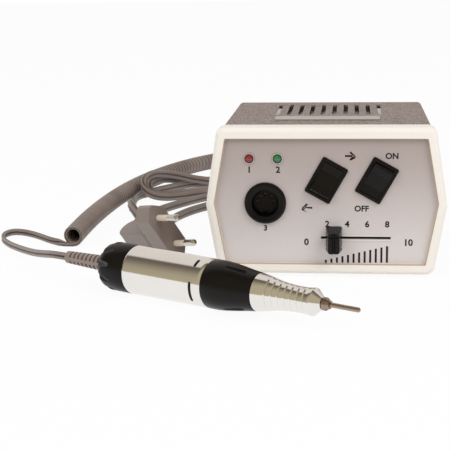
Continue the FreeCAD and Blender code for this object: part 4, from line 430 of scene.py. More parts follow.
@dataclass(frozen=True)
class BezelPlastic(Finish):
    """Cream bezel plastic with painted shade, a light brown tint, in the chamfer of its opening."""

    chamfer_shade_tint: Colour = (0.5, 0.35, 0.2)
    opening_top: float = 0.07455
    opening_bottom: float = 0.00755
    mid: tuple[float, float] = (0.05875, 0.0404)
    top: tuple[float, float] = (0.0527, 0.07455)
    bottom: tuple[float, float] = (0.0526, 0.00755)
    chamfer: float = 0.00045
    lip_back: float = 0.0605
    lip_fade: float = 0.0008

    def _side(self, across: Value, up: Value, start: tuple[float, float], end: tuple[float, float]) -> Value:
        """Measure how far a point is outside one sloping side of the opening.

        Args:
            across: Distance from the middle.
            up: Height.
            start: One end of the side.
            end: The side's other end, on its right seen from the middle.

        Returns:
            The signed distance.
        """
        run, rise = end[0] - start[0], end[1] - start[1]
        size = hypot(run, rise)
        normal = (-rise / size, run / size)
        if normal[0] < 0:
            normal = (-normal[0], -normal[1])
        offset = normal[0] * start[0] + normal[1] * start[1]
        return across * normal[0] + up * normal[1] - offset

    def paint(self, graph: Graph) -> None:
        """Paint shade into the opening's chamfer as a light brown tint, and give the rest a smooth moulded
        look.
        """
        across, depth, up = graph.axes()
        side = abs(across)
        outside = (up - self.opening_top).maximum(self.opening_bottom - up)
        outside = outside.maximum(self._side(side, up, self.top, self.mid))
        outside = outside.maximum(self._side(side, up, self.mid, self.bottom))
        # Painted shade: a light brown tint along the chamfer of the opening, towards the lip's front.
        chamfer_shade_mask = 1.0 - outside.ramp(self.chamfer * 0.55, self.chamfer)
        behind_lip = abs(depth).ramp(self.lip_back - self.lip_fade, self.lip_back)
        cloud = graph.noise(25.0, 3.0)
        grain = graph.noise(1500.0, 2.0)
        cream = graph.mix(cloud, self.colour, shade(self.colour, 0.97))
        graph.surface({
            "Base Color": graph.mix(chamfer_shade_mask * behind_lip * 0.75, cream, self.chamfer_shade_tint),
            "Roughness": self.roughness + (cloud - 0.5) * 0.1,
            "Normal": graph.bump(grain, 0.00002),
        })


HANDPIECE_TURN = radians(-30.0)
HANDPIECE_PLACE: Point = (-0.095, -0.096, 0.0126)
HANDPIECE_AXIS: Point = (cos(HANDPIECE_TURN), sin(HANDPIECE_TURN), 0.0)
CORD_COLOUR = srgb(148, 133, 125)
CORD_SHADE = srgb(128, 114, 107)

FINISHES: dict[Paint, Finish] = {
    # The bezel's light brown tint is painted shade in the chamfer of its opening.
    Paint.bezel: BezelPlastic("bezel cream plastic", srgb(246, 240, 232), 0.4, chamfer_shade_tint=srgb(178, 140, 92)),
    Paint.cover_paint: Speckled(
        "cover textured paint", srgb(142, 126, 120), 0.6,
        dark=srgb(58, 48, 45), light=srgb(214, 204, 198), scale=640.0, depth=0.0003),
    # The panel paint is paler towards its bottom and darker towards its top: painted light.
    Paint.panel_paint: Speckled(
        "panel silver paint", srgb(174, 160, 156), 0.5, dark=srgb(170, 157, 153), light=srgb(182, 169, 165),
        scale=1500.0, depth=0.0000005, painted_light_low_colour=srgb(222, 216, 215), strength=0.06),
    Paint.plate: Metal("brushed aluminium plate", srgb(190, 188, 184), 0.35, lines=(30.0, 2500.0, 2500.0)),
    Paint.steel: Metal("zinc plated steel", srgb(150, 150, 152), 0.38),
    Paint.bright: Metal("polished nickel", srgb(214, 208, 198), 0.12, wear=0.15),
    Paint.tin: Metal("bare brass", srgb(186, 150, 96), 0.3, wear=0.2),
    Paint.barrel_metal: TurnedMetal(
        "polished barrel aluminium", srgb(238, 235, 231), 0.12, axis=HANDPIECE_AXIS),
    Paint.black_gloss: Moulded(
        "black gloss plastic", srgb(16, 12, 11), 0.3, grain=900.0, depth=0.00001, patch=0.15, specular=0.2),
    Paint.black_matte: Moulded("black matt plastic", srgb(18, 15, 14), 0.45, patch=0.15, specular=0.16),
    Paint.rubber: Moulded("black foot rubber", srgb(30, 29, 29), 0.75, patch=0.2),
    Paint.cord: Cable("cord plastic", CORD_COLOUR, 0.42, rim=CORD_SHADE),
    Paint.plug_plastic: Moulded("plug plastic", srgb(139, 126, 119), 0.45, coat=0.1, patch=0.05),
    Paint.cream: Moulded("cream sleeve plastic", srgb(226, 214, 192), 0.4, patch=0.05),
    # The lenses carry a painted glow in the middle and painted shade at the rim.
    Paint.red_lens: Lens(
        "red lamp lens", srgb(84, 6, 12), 0.2, centre=(-0.0402, -0.0615, 0.064), glow=srgb(140, 18, 26)),
    Paint.green_lens: Lens(
        "green lamp lens", srgb(4, 66, 36), 0.2, centre=(-0.0253, -0.0615, 0.064), glow=srgb(22, 120, 64)),
    Paint.board: Moulded("green circuit board", srgb(36, 98, 52), 0.4, coat=0.3, patch=0.2),
    Paint.copper: Metal(
        "varnished copper wire", srgb(176, 104, 60), 0.4, lines=(200.0, 200.0, 3500.0), depth=0.00006),
    Paint.lamination: Metal(
        "varnished iron sheets", srgb(84, 84, 88), 0.5, lines=(2500.0, 60.0, 60.0), depth=0.00004),
}
INK = Moulded("printed ink", srgb(36, 31, 30), 0.6, patch=0.1, specular=0.2)
# Pale strips along the slide's slot: painted highlight.
SLOT_HIGHLIGHT = Moulded("painted slot highlight", srgb(224, 218, 212), 0.5, patch=0.05)
GROOVE_DARK = Moulded("dark groove filling", srgb(24, 21, 20), 0.6, patch=0.15, specular=0.2)
NODE_FINISHES: dict[str, Finish] = {
    "collet": TurnedMetal("worn collet steel", srgb(176, 156, 142), 0.3, axis=HANDPIECE_AXIS, wear=0.3),
    "drill_bit": TurnedMetal("bit steel", srgb(176, 158, 144), 0.25, axis=HANDPIECE_AXIS, wear=0.2),
}


def deselect() -> None:
    """Leave edit mode and deselect everything."""
    if bpy.context.object is not None and bpy.context.object.mode != "OBJECT":
        bpy.ops.object.mode_set(mode="OBJECT")
    for thing in bpy.context.view_layer.objects:
        thing.select_set(False)


def pick(piece: Object) -> None:
    """Make a piece the only selected and the active one."""
    deselect()
    piece.select_set(True)
    bpy.context.view_layer.objects.active = piece


def edit_all(piece: Object) -> None:
    """Open a piece in edit mode with all of it selected."""
    pick(piece)
    bpy.ops.object.mode_set(mode="EDIT")
    bpy.ops.mesh.select_all(action="SELECT")


def tidy(piece: Object, smooth_deg: float = 35.0) -> None:
    """Merge doubles, turn the faces outwards, leave edit mode and smooth the shading."""
    edit_all(piece)
    bpy.ops.mesh.remove_doubles(threshold=0.000002)
    bpy.ops.mesh.normals_make_consistent(inside=False)
    bpy.ops.object.mode_set(mode="OBJECT")
    bpy.ops.object.shade_smooth_by_angle(angle=radians(smooth_deg))


def settle(piece: Object, place: Matrix | None = None) -> None:
    """Move a piece's own place into its mesh, then its assembly's place too.

    Args:
        piece: The piece to settle.
        place: Where its assembly lies.
    """
    bpy.context.view_layer.update()
    piece.data.transform((place or Matrix.Identity(4)) @ piece.matrix_world)
    piece.matrix_world = Matrix.Identity(4)


def apply_modifier(piece: Object, kind: str, settings: dict) -> None:
    """Add a modifier, set it up and apply it.

    Args:
        piece: The piece to change.
        kind: The modifier's type.
        settings: Its attributes.
    """
    pick(piece)
    modifier = piece.modifiers.new(kind.lower(), kind)
    for name, setting in settings.items():
        setattr(modifier, name, setting)
    bpy.ops.object.modifier_apply(modifier=modifier.name)


def cut(piece: Object, cutters: Iterable[Object]) -> None:
    """Cut shapes out of a piece and delete the cutters."""
    for cutter in cutters:
        apply_modifier(piece, "BOOLEAN", {"operation": "DIFFERENCE", "solver": "EXACT", "object": cutter})
        bpy.data.objects.remove(cutter)


def turned(name: str, stations: Sequence[Station], sides: int = 96) -> Object:
    """Turn a hollow shape about the X axis from rings drawn out one after another.

    Args:
        name: The piece's name.
        stations: Distance along the axis and radius, in millimetres; the last ring is joined to the first.
        sides: Faces round the axis.

    Returns:
        The turned piece, still on the X axis.
    """
    deselect()
    start, radius = stations[0]
    bpy.ops.mesh.primitive_circle_add(
        vertices=sides, radius=radius * MM, location=(start * MM, 0, 0), rotation=(0, pi / 2, 0))
    piece = bpy.context.object
    piece.name = name
    settle(piece)
    edit_all(piece)
    for distance, size in stations[1:]:
        bpy.ops.mesh.extrude_region_move(TRANSFORM_OT_translate={"value": ((distance - start) * MM, 0, 0)})
        share = size / radius
        bpy.ops.transform.resize(value=(1, share, share), center_override=(distance * MM, 0, 0))
        start, radius = distance, size
    bpy.ops.mesh.select_all(action="SELECT")
    bpy.ops.mesh.remove_doubles(threshold=0.000001)
    bpy.ops.mesh.select_all(action="DESELECT")
    bpy.ops.mesh.select_non_manifold()
    if bpy.context.edit_object.data.total_edge_sel:
        bpy.ops.mesh.bridge_edge_loops()
    tidy(piece)
    return piece


def capsule(start: Point, end: Point, radius: float) -> Object:
    """Make a round ended cutter between two points.

    Args:
        start: One end's centre in millimetres.
        end: The other end's centre in millimetres.
        radius: The cutter's radius in millimetres.

    Returns:
        The cutter.
    """
    deselect()
    first, last = Vector(start) * MM, Vector(end) * MM
    middle = (first + last) / 2
    reach = last - first
    bpy.ops.mesh.primitive_uv_sphere_add(segments=24, ring_count=16, radius=radius * MM)
    cutter = bpy.context.object
    for corner in cutter.data.vertices:
        corner.co.z += copysign(reach.length / 2, corner.co.z) if abs(corner.co.z) > 1e-9 else 0.0
    cutter.data.transform(Matrix.Translation(middle) @ reach.to_track_quat("Z", "Y").to_matrix().to_4x4())
    return cutter


def capsules_round(
    angles: Iterable[float], rear: Station, front: Station, radius: float
) -> list[Object]:
    """Make one cutter at each angle round the X axis.

    Args:
        angles: The angles in radians.
        rear: The rear end's distance along the axis and from it, in millimetres.
        front: The same for the front end.
        radius: The cutters' radius in millimetres.

    Returns:
        The cutters.
    """
    ends = [[(along, away * cos(angle), away * sin(angle)) for along, away in (rear, front)]
            for angle in angles]
    return [capsule(start, end, radius) for start, end in ends]


def dress(piece: Object, finish: Finish, body: str) -> Object:
    """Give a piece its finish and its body.

    Args:
        piece: The finished mesh.
        finish: What it is made of.
        body: The CAD body that it moves with.

    Returns:
        The piece.
    """
    piece.data.materials.clear()
    piece.data.materials.append(finish.material())
    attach(piece, body)
    LOG.info("%s: %d faces on %s", piece.name, len(piece.data.polygons), body)
    return piece


def handpiece_place() -> Matrix:
    """Return where the handpiece lies on the table."""
    return Matrix.Translation(Vector(HANDPIECE_PLACE)) @ Matrix.Rotation(HANDPIECE_TURN, 4, "Z")


@dataclass
class Handpiece:
    """The handpiece's outer shells, modelled along X and laid on the table."""

    cap_length: float = 19.4
    cap_radius: float = 12.6
    flutes: int = 10
    barrel_length: float = 48.4
    barrel_front: float = 12.2
    bore: float = 11.05
    grip_start: float = 48.7
    grip_end: float = 76.0
    grip_bore: float = 8.5
    scoops: int = 3
    first_scoop: float = radians(112.5)
    nose_end: float = 106.7
    tip_end: float = 110.7
    tip_radius: float = 3.0
    nose_bore: float = 5.35
    grooves: int = 7
    groove_first: float = 83.1
    groove_pitch: float = 3.3
    groove_outline: tuple[Station, ...] = (
        (-1.1, 0.0), (-0.55, 0.0), (-0.4, 0.14), (-0.2, 0.36), (0.0, 0.44), (0.2, 0.36), (0.4, 0.14),
        (0.55, 0.0), (1.1, 0.0))
    waist: tuple[Station, ...] = (
        (76.0, 9.35), (80.0, 8.7), (83.0, 8.0), (86.0, 7.35), (90.0, 6.75), (94.0, 6.35), (97.0, 6.2),
        (100.0, 6.15), (103.0, 6.3), (106.2, 6.6))
    marks: tuple[tuple[str, float, float], ...] = (("upper_mark", 16.0, 40.0), ("side_mark", 76.0, 128.0))
    mark_inset: float = 5.6
    mark_width: float = 0.75
    mark_lift: float = 0.05
    mark_steps: int = 24
    place: Matrix = field(default_factory=handpiece_place)

    def lay(self, piece: Object, node: str, body: str, finish: Paint) -> None:
        """Put a finished shell in its place and let it stand for its CAD node."""
        settle(piece, self.place)
        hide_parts(node)
        dress(piece, FINISHES[finish], body)

    def rear_cap(self) -> None:
        """Make the fluted cap behind the barrel."""
        end, radius = -self.cap_length, self.cap_radius
        cap = turned("rear_cap_shell", [
            (end + 4.9, 4.35), (end + 0.4, 4.35), (end, 4.8), (end, 7.6), (end + 0.5, 8.9), (end + 1.5, 10.4),
            (end + 3.0, 11.6), (end + 4.8, 12.3), (end + 6.6, radius), (-0.5, radius), (-0.12, radius - 0.15),
            (0.0, radius - 0.5), (0.0, 11.0), (3.9, 10.9), (3.9, 9.0), (end + 4.9, 9.0)])
        angles = (2 * pi * (index + 0.5) / self.flutes for index in range(self.flutes))
        cut(cap, capsules_round(angles, (end - 1.5, radius - 2.3), (-11.0, radius + 1.25), 1.9))
        tidy(cap, 30.0)
        self.lay(cap, "rear_cap", "machine", Paint.black_gloss)

    def barrel(self) -> None:
        """Make the polished barrel with its two engraved marks."""
        length, front = self.barrel_length, self.barrel_front
        rear = self.cap_radius
        slope = (rear - front) / length
        shell = turned("barrel_shell", [
            (0.0, self.bore), (0.0, rear - 0.3), (0.12, rear - 0.08), (0.4, rear - 0.4 * slope),
            (0.8, rear - 0.8 * slope), (length - 1.6, front + 1.6 * slope),
            (length - 1.2, front + 1.2 * slope), (length - 0.6, front - 0.15), (length, front - 0.6),
            (length, self.bore)], sides=160)
        self.lay(shell, "motor_barrel", "machine", Paint.barrel_metal)
        for name, start_deg, end_deg in self.marks:
            self.mark(name, length - self.mark_inset, start_deg, end_deg)

    def mark(self, name: str, distance: float, start_deg: float, end_deg: float) -> None:
        """Make one dark engraved mark round part of the barrel.

        Args:
            name: The mark's name.
            distance: Its distance along the axis in millimetres.
            start_deg: Where it starts, counted from the top towards the front.
            end_deg: Where it ends.
        """
        narrowing = (self.cap_radius - self.barrel_front) * distance / self.barrel_length
        radius = self.cap_radius - narrowing + self.mark_lift
        deselect()
        bpy.ops.mesh.primitive_grid_add(x_subdivisions=2, y_subdivisions=self.mark_steps, size=1.0)
        strip = bpy.context.object
        strip.name = name
        for corner in strip.data.vertices:
            share = corner.co.y + 0.5
            angle = radians(start_deg + (end_deg - start_deg) * share)
            width = self.mark_width * sqrt(max(0.0, 1 - (2 * share - 1) ** 8))
            along = (distance + corner.co.x * 2 * width) * MM
            corner.co = Vector((along, -radius * sin(angle) * MM, radius * cos(angle) * MM))
        apply_modifier(strip, "SOLIDIFY", {"thickness": 0.00008, "offset": 0.0})
        tidy(strip, 60.0)
        settle(strip, self.place)
        dress(strip, GROOVE_DARK, "machine")

    def grip(self) -> None:
        """Make the twist grip with its long scoops."""
        start, end = self.grip_start, self.grip_end
        grip = turned("grip_shell", [
            (start, self.grip_bore), (start, 11.7), (start + 0.25, 12.05), (start + 0.8, 12.2),
            (start + 6.0, 12.15), (start + 10.0, 11.85), (start + 16.0, 11.0), (start + 22.0, 10.0),
            (end - 1.5, 9.5), (end - 0.4, 9.35), (end, 9.1), (end, self.grip_bore)], sides=128)
        angles = (self.first_scoop + 2 * pi * index / self.scoops for index in range(self.scoops))
        cut(grip, capsules_round(angles, (start + 12.0, 13.5), (end - 7.0, 11.5), 2.3))
        tidy(grip, 30.0)
        self.lay(grip, "grip_sleeve", "front_sleeve", Paint.black_gloss)

    def waist_radius(self, distance: float) -> float:
        """Read the nose cone's waisted outline.

        Args:
            distance: The distance along the axis in millimetres.

        Returns:
            The outline's radius there.
        """
        for (before, first), (after, second) in zip(self.waist, self.waist[1:]):
            if distance <= after:
                return first + (second - first) * (distance - before) / (after - before)
        return self.waist[-1][1]

    def nose(self) -> None:
        """Make the waisted nose cone with its thin turned grooves."""
        start, end, tip = self.grip_end, self.nose_end, self.tip_end
        stations = [(start, self.nose_bore), (start, 9.0), (start + 0.25, 9.3)]
        stations += [(distance, self.waist_radius(distance)) for distance in (78.0, 80.0, 81.5)]
        for index in range(self.grooves):
            centre = self.groove_first + self.groove_pitch * index
            for reach, depth in self.groove_outline:
                stations.append((centre + reach, self.waist_radius(centre + reach) - depth))
        stations += [
            (105.0, 6.52), (106.0, 6.62), (106.5, 6.55), (end, 6.3), (tip - 0.6, self.tip_radius + 0.45),
            (tip, self.tip_radius - 0.1), (tip, 2.55), (end - 2.0, 2.55), (end - 3.0, self.nose_bore)]
        nose = turned("nose_shell", stations, sides=128)
        tidy(nose, 28.0)
        self.lay(nose, "nose_cone", "front_sleeve", Paint.barrel_metal)

    def build(self) -> None:
        """Make every shell."""
        self.rear_cap()
        self.barrel()
        self.grip()
        self.nose()


def points_of_route(name: str, route: Sequence[Point], resolution: int = 12) -> list[Vector]:
    """Read the smooth line that a NURBS spline makes of a route.

    Args:
        name: A name for the curve.
        route: The route's points in metres.
        resolution: Points for each of the route's points.

    Returns:
        Points along the line, in metres.
    """
    curve = bpy.data.curves.new(name, "CURVE")
    curve.dimensions = "3D"
    spline = curve.splines.new("NURBS")
    spline.points.add(len(route) - 1)
    for point, place in zip(spline.points, route):
        point.co = (*place, 1.0)
    spline.order_u = 3
    spline.use_endpoint_u = True
    spline.resolution_u = resolution
    holder = bpy.data.objects.new(name, curve)
    bpy.context.collection.objects.link(holder)
    bpy.context.view_layer.update()
    line = bpy.data.meshes.new_from_object(holder)
    points = [corner.co.copy() for corner in line.vertices]
    bpy.data.objects.remove(holder)
    return points


def line_length(points: Sequence[Vector]) -> float:
    """Return the length of a line through the points."""
    return sum((after - before).length for before, after in zip(points, points[1:]))


def at_distance(points: Sequence[Vector], distances: Sequence[float]) -> list[Vector]:
    """Read a line at rising distances from its start.

    Args:
        points: The line's points.
        distances: Rising distances in metres.

    Returns:
        The points at those distances.
    """
    found = []
    index, passed = 0, 0.0
    step = (points[1] - points[0]).length
    for distance in distances:
        while distance > passed + step and index < len(points) - 2:
            passed += step
            index += 1
            step = (points[index + 1] - points[index]).length
        share = min(max((distance - passed) / max(step, 1e-9), 0.0), 1.0)
        found.append(points[index].lerp(points[index + 1], share))
    return found


CORE_MEETING = 0.86
CORE_GAP_ANGLE = 0.35
# How the painted shade on the cord rises in the groove between its cores and towards its edges.
GROOVE_PEAK, GROOVE_HALF_WIDTH = 1.45, 0.19
EDGE_START, EDGE_SLOPE = 0.9, 9


def twin_section(width: float, thickness: float, per_side: int = 5) -> list[Station]:
    """Draw the outline of a flat two core cable: two round cores that meet in a groove.

    Args:
        width: Across both cores, in metres.
        thickness: Across one core, in metres.
        per_side: Points round each quarter.

    Returns:
        Points (along the width, across it) in order.
    """
    core = thickness / 2
    centre = width / 2 - core
    reach = acos(min(1.0, centre / core * CORE_MEETING)) if centre < core else CORE_GAP_ANGLE
    outline = []
    turn = 2 * (pi - reach)
    for side in (1, -1):
        for step in range(2 * per_side + 1):
            angle = (-pi + reach) + turn * step / (2 * per_side)
            outline.append((side * (centre + core * cos(angle)), side * core * sin(angle)))
    return outline


def tube(
    name: str, path: Sequence[Vector], widths: Sequence[Vector], section: Sequence[Station]
) -> Object:
    """Sweep a section along a path whose width directions are given.

    Args:
        name: The piece's name.
        path: The centreline.
        widths: The section's width direction at each point.
        section: The outline as (along the width, across it).

    Returns:
        The swept piece.
    """
    corners, faces = [], []
    count = len(section)
    for index, point in enumerate(path):
        ahead = path[min(index + 1, len(path) - 1)] - path[max(index - 1, 0)]
        ahead.normalize()
        width = widths[index] - ahead * widths[index].dot(ahead)
        width.normalize()
        across = ahead.cross(width)
        corners += [point + width * along + across * out for along, out in section]
    for ring in range(len(path) - 1):
        for side in range(count):
            after = (side + 1) % count
            low, high = ring * count, (ring + 1) * count
            faces.append((low + side, low + after, high + after, high + side))
    faces.append(tuple(reversed(range(count))))
    faces.append(tuple((len(path) - 1) * count + side for side in range(count)))
    mesh = bpy.data.meshes.new(name)
    mesh.from_pydata(corners, [], faces)
    # Painted shade: each outline point gets a level, high in the groove and at the edges, that the cord
    # finish darkens by.
    half = max(along for along, _ in section)
    shade_levels = []
    for along, _ in section:
        middle = GROOVE_PEAK - abs(along) / (half * GROOVE_HALF_WIDTH)
        edge = (abs(along) / half - EDGE_START) * EDGE_SLOPE
        shade_levels.append(min(1.0, max(middle, edge, 0.0)))
    groove = mesh.attributes.new("groove", "FLOAT", "POINT")
    groove.data.foreach_set("value", shade_levels * len(path))
    piece = bpy.data.objects.new(name, mesh)
    bpy.context.collection.objects.link(piece)
    tidy(piece, 50.0)
    return piece


@dataclass
class HandpieceCord:
    """The handpiece's flat cord: a short lead, the curly stretch, and the lead to its plug."""

    width: float = 0.0042
    thickness: float = 0.0021
    turns: int = 84
    radius: float = 0.0051
    axis_height: float = 0.00615
    real_length: float = 2.94
    steps_per_turn: int = 20
    twist_start: float = 0.002
    twist_length: float = 0.014
    floor_gap: float = 0.00005
    lead_route: tuple[Point, ...] = (
        (-0.13657, -0.072, 0.0126), (-0.1461, -0.0665, 0.0126), (-0.156, -0.054, 0.0095),
        (-0.167, -0.037, 0.006), (-0.181, -0.016, 0.0032), (-0.1905, -0.003, 0.0023),
        (-0.1982, 0.0105, 0.0022), (-0.2, 0.0225, 0.0022), (-0.1962, 0.0295, 0.0022),
        (-0.1888, 0.0275, 0.0022), (-0.1815, 0.0222, 0.0022), (-0.1745, 0.0155, 0.0021),
        (-0.1682, 0.0085, 0.0018), (-0.162, 0.0035, 0.0013), (-0.1564, 0.002, 0.00106))
    axis_route: tuple[tuple[float, float], ...] = (
        (-0.1518, 0.002), (-0.1523, 0.028), (-0.152, 0.058), (-0.1505, 0.09), (-0.1475, 0.124),
        (-0.1425, 0.157), (-0.1345, 0.19), (-0.1235, 0.222), (-0.11, 0.25), (-0.094, 0.273),
        (-0.074, 0.288), (-0.05, 0.2935), (-0.025, 0.2935))
    plug_route: tuple[Point, ...] = (
        (-0.025, 0.2901, 0.00106), (-0.025, 0.281, 0.0015), (-0.021, 0.269, 0.0028),
        (-0.011, 0.26, 0.0048), (0.0, 0.258, 0.007), (0.0095, 0.258, 0.007))

    def helix(self) -> tuple[list[Vector], list[Vector]]:
        """Wind the curly stretch round its axis.

        Returns:
            The cord's points and the axis's direction at each.
        """
        axis = points_of_route("curly axis", [(x, y, self.axis_height) for x, y in self.axis_route], 24)
        whole = line_length(axis)
        count = self.turns * self.steps_per_turn
        distances = [whole * step / count for step in range(count + 1)]
        centres = at_distance(axis, distances)
        points, directions = [], []
        for step, centre in enumerate(centres):
            ahead = centres[min(step + 3, count)] - centres[max(step - 3, 0)]
            ahead.normalize()
            side = Vector((ahead.y, -ahead.x, 0.0))
            angle = 2 * pi * step / self.steps_per_turn
            drop = cos(angle) * min(self.radius, self.axis_height - self.thickness / 2)
            points.append(centre + side * sin(angle) * self.radius - Vector((0, 0, 1)) * drop)
            directions.append(ahead)
        return points, directions

    def twisted(self, flat: Vector, away: float) -> Vector:
        """Turn the cord from lying flat at the coil to standing on its edge further off.

        Args:
            flat: The width's direction at the coil's end.
            away: How far the point is from there, in metres.

        Returns:
            The width's direction.
        """
        share = min(max((away - self.twist_start) / self.twist_length, 0.0), 1.0)
        share = share * share * (3 - 2 * share)
        return flat.lerp(Vector((0, 0, 1)), share)

    def build(self) -> None:
        """Make the cord as one piece from the handpiece to its plug."""
        lead = points_of_route("lead line", self.lead_route)
        coil, directions = self.helix()
        out = points_of_route("plug lead line", self.plug_route)
        path = lead[:-1] + coil + out[1:]
        widths = [self.twisted(directions[0], (point - coil[0]).length) for point in lead[:-1]]
        widths += directions
        widths += [self.twisted(directions[-1], (point - coil[-1]).length) for point in out[1:]]
        flat = self.thickness / 2
        for point, direction in zip(path, widths):
            standing = (self.width / 2 - flat) * abs(direction.normalized().z)
            point.z = max(point.z, flat + standing + self.floor_gap)
        piece = tube("handpiece_cord", path, widths, twin_section(self.width, self.thickness))
        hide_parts("handpiece_lead", "curly_cord", "plug_lead")
        dress(piece, FINISHES[Paint.cord], "machine")
        LOG.info("handpiece cord is %.3f m", line_length(path))


@dataclass
class MainsCord:
    """The flat mains cord, looped beside and behind the box."""

    width: float = 0.0058
    thickness: float = 0.0036
    real_length: float = 1.7
    floor_gap: float = 0.0001
    route: tuple[Point, ...] = ()

    def build(self) -> None:
        """Make the cord along its smooth line."""
        lowest = self.width / 2 + self.floor_gap
        line = points_of_route("mains line", self.route, 8)
        path = [Vector((point.x, point.y, max(point.z, lowest))) for point in line]
        widths = [Vector((0, 0, 1)) for _ in path]
        piece = tube("mains_cable", path, widths, twin_section(self.width, self.thickness))
        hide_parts("mains_cord")
        dress(piece, FINISHES[Paint.cord], "machine")
        LOG.info("mains cord is %.3f m", line_length(path))


PER_METRE = 10000
ON_TABLE = 27


def route_in_metres(*stops: tuple[int, ...]) -> tuple[Point, ...]:
    """Read stops in tenths of a millimetre; one without a height lies on the table."""
    raised = ((x, y, *(height or [ON_TABLE])) for x, y, *height in stops)
    return tuple(tuple(value / PER_METRE for value in stop) for stop in raised)


MAINS_ROUTE = route_in_metres(
    (-300, 920, 180), (-300, 1070, 180), (-330, 1230, 95), (-470, 1320), (-650, 1260), (-800, 1110),
    (-910, 940), (-975, 780), (-1015, 620), (-1005, 460), (-975, 325), (-1105, 250), (-1235, 325),
    (-1230, 480), (-1205, 660), (-1170, 830), (-1110, 990), (-1010, 1170), (-880, 1380), (-660, 1520),
    (-360, 1600), (-40, 1625), (270, 1635), (544, 1660), (689, 1910), (544, 2160), (250, 2175), (-80, 2145),
    (-420, 2093), (-700, 2035), (-930, 2000, 29), (-1055, 1940, 40), (-1150, 1850, 63), (-1224, 1720, 94),
    (-1275, 1600, 105), (-1302, 1500, 97), (-1290, 1425, 65), (-1240, 1410, 36), (-1155, 1445),
    (-1052, 1512), (-925, 1620), (-700, 1705), (-420, 1770), (-160, 1800), (60, 1815), (240, 1830),
    (296, 1927), (240, 2024), (40, 2025), (-200, 1995), (-460, 1935), (-700, 1885, 35), (-880, 1850, 50),
    (-1015, 1815, 73), (-1120, 1760, 108), (-1213, 1650, 146), (-1284, 1510, 170), (-1321, 1395, 156),
    (-1322, 1325, 115), (-1290, 1310, 73), (-1230, 1326, 42), (-1150, 1356, 30), (-1066, 1400),
    (-978, 1475), (-860, 1550), (-660, 1620), (-380, 1680), (-80, 1710), (180, 1722), (404, 1740),
    (508, 1920), (404, 2100), (180, 2105), (-120, 2070), (-440, 2019), (-700, 1971), (-890, 1932),
    (-1020, 1880), (-1115, 1795), (-1195, 1685), (-1267, 1584), (-1310, 1500), (-1359, 1425), (-1375, 1330),
    (-1364, 1180), (-1330, 990, 35), (-1285, 750, 80), (-1250, 505, 132), (-1205, 280, 185),
    (-1170, 90, 235), (-1150, -60, 285), (-1119, -147, 275), (-1066, -192, 218),
)


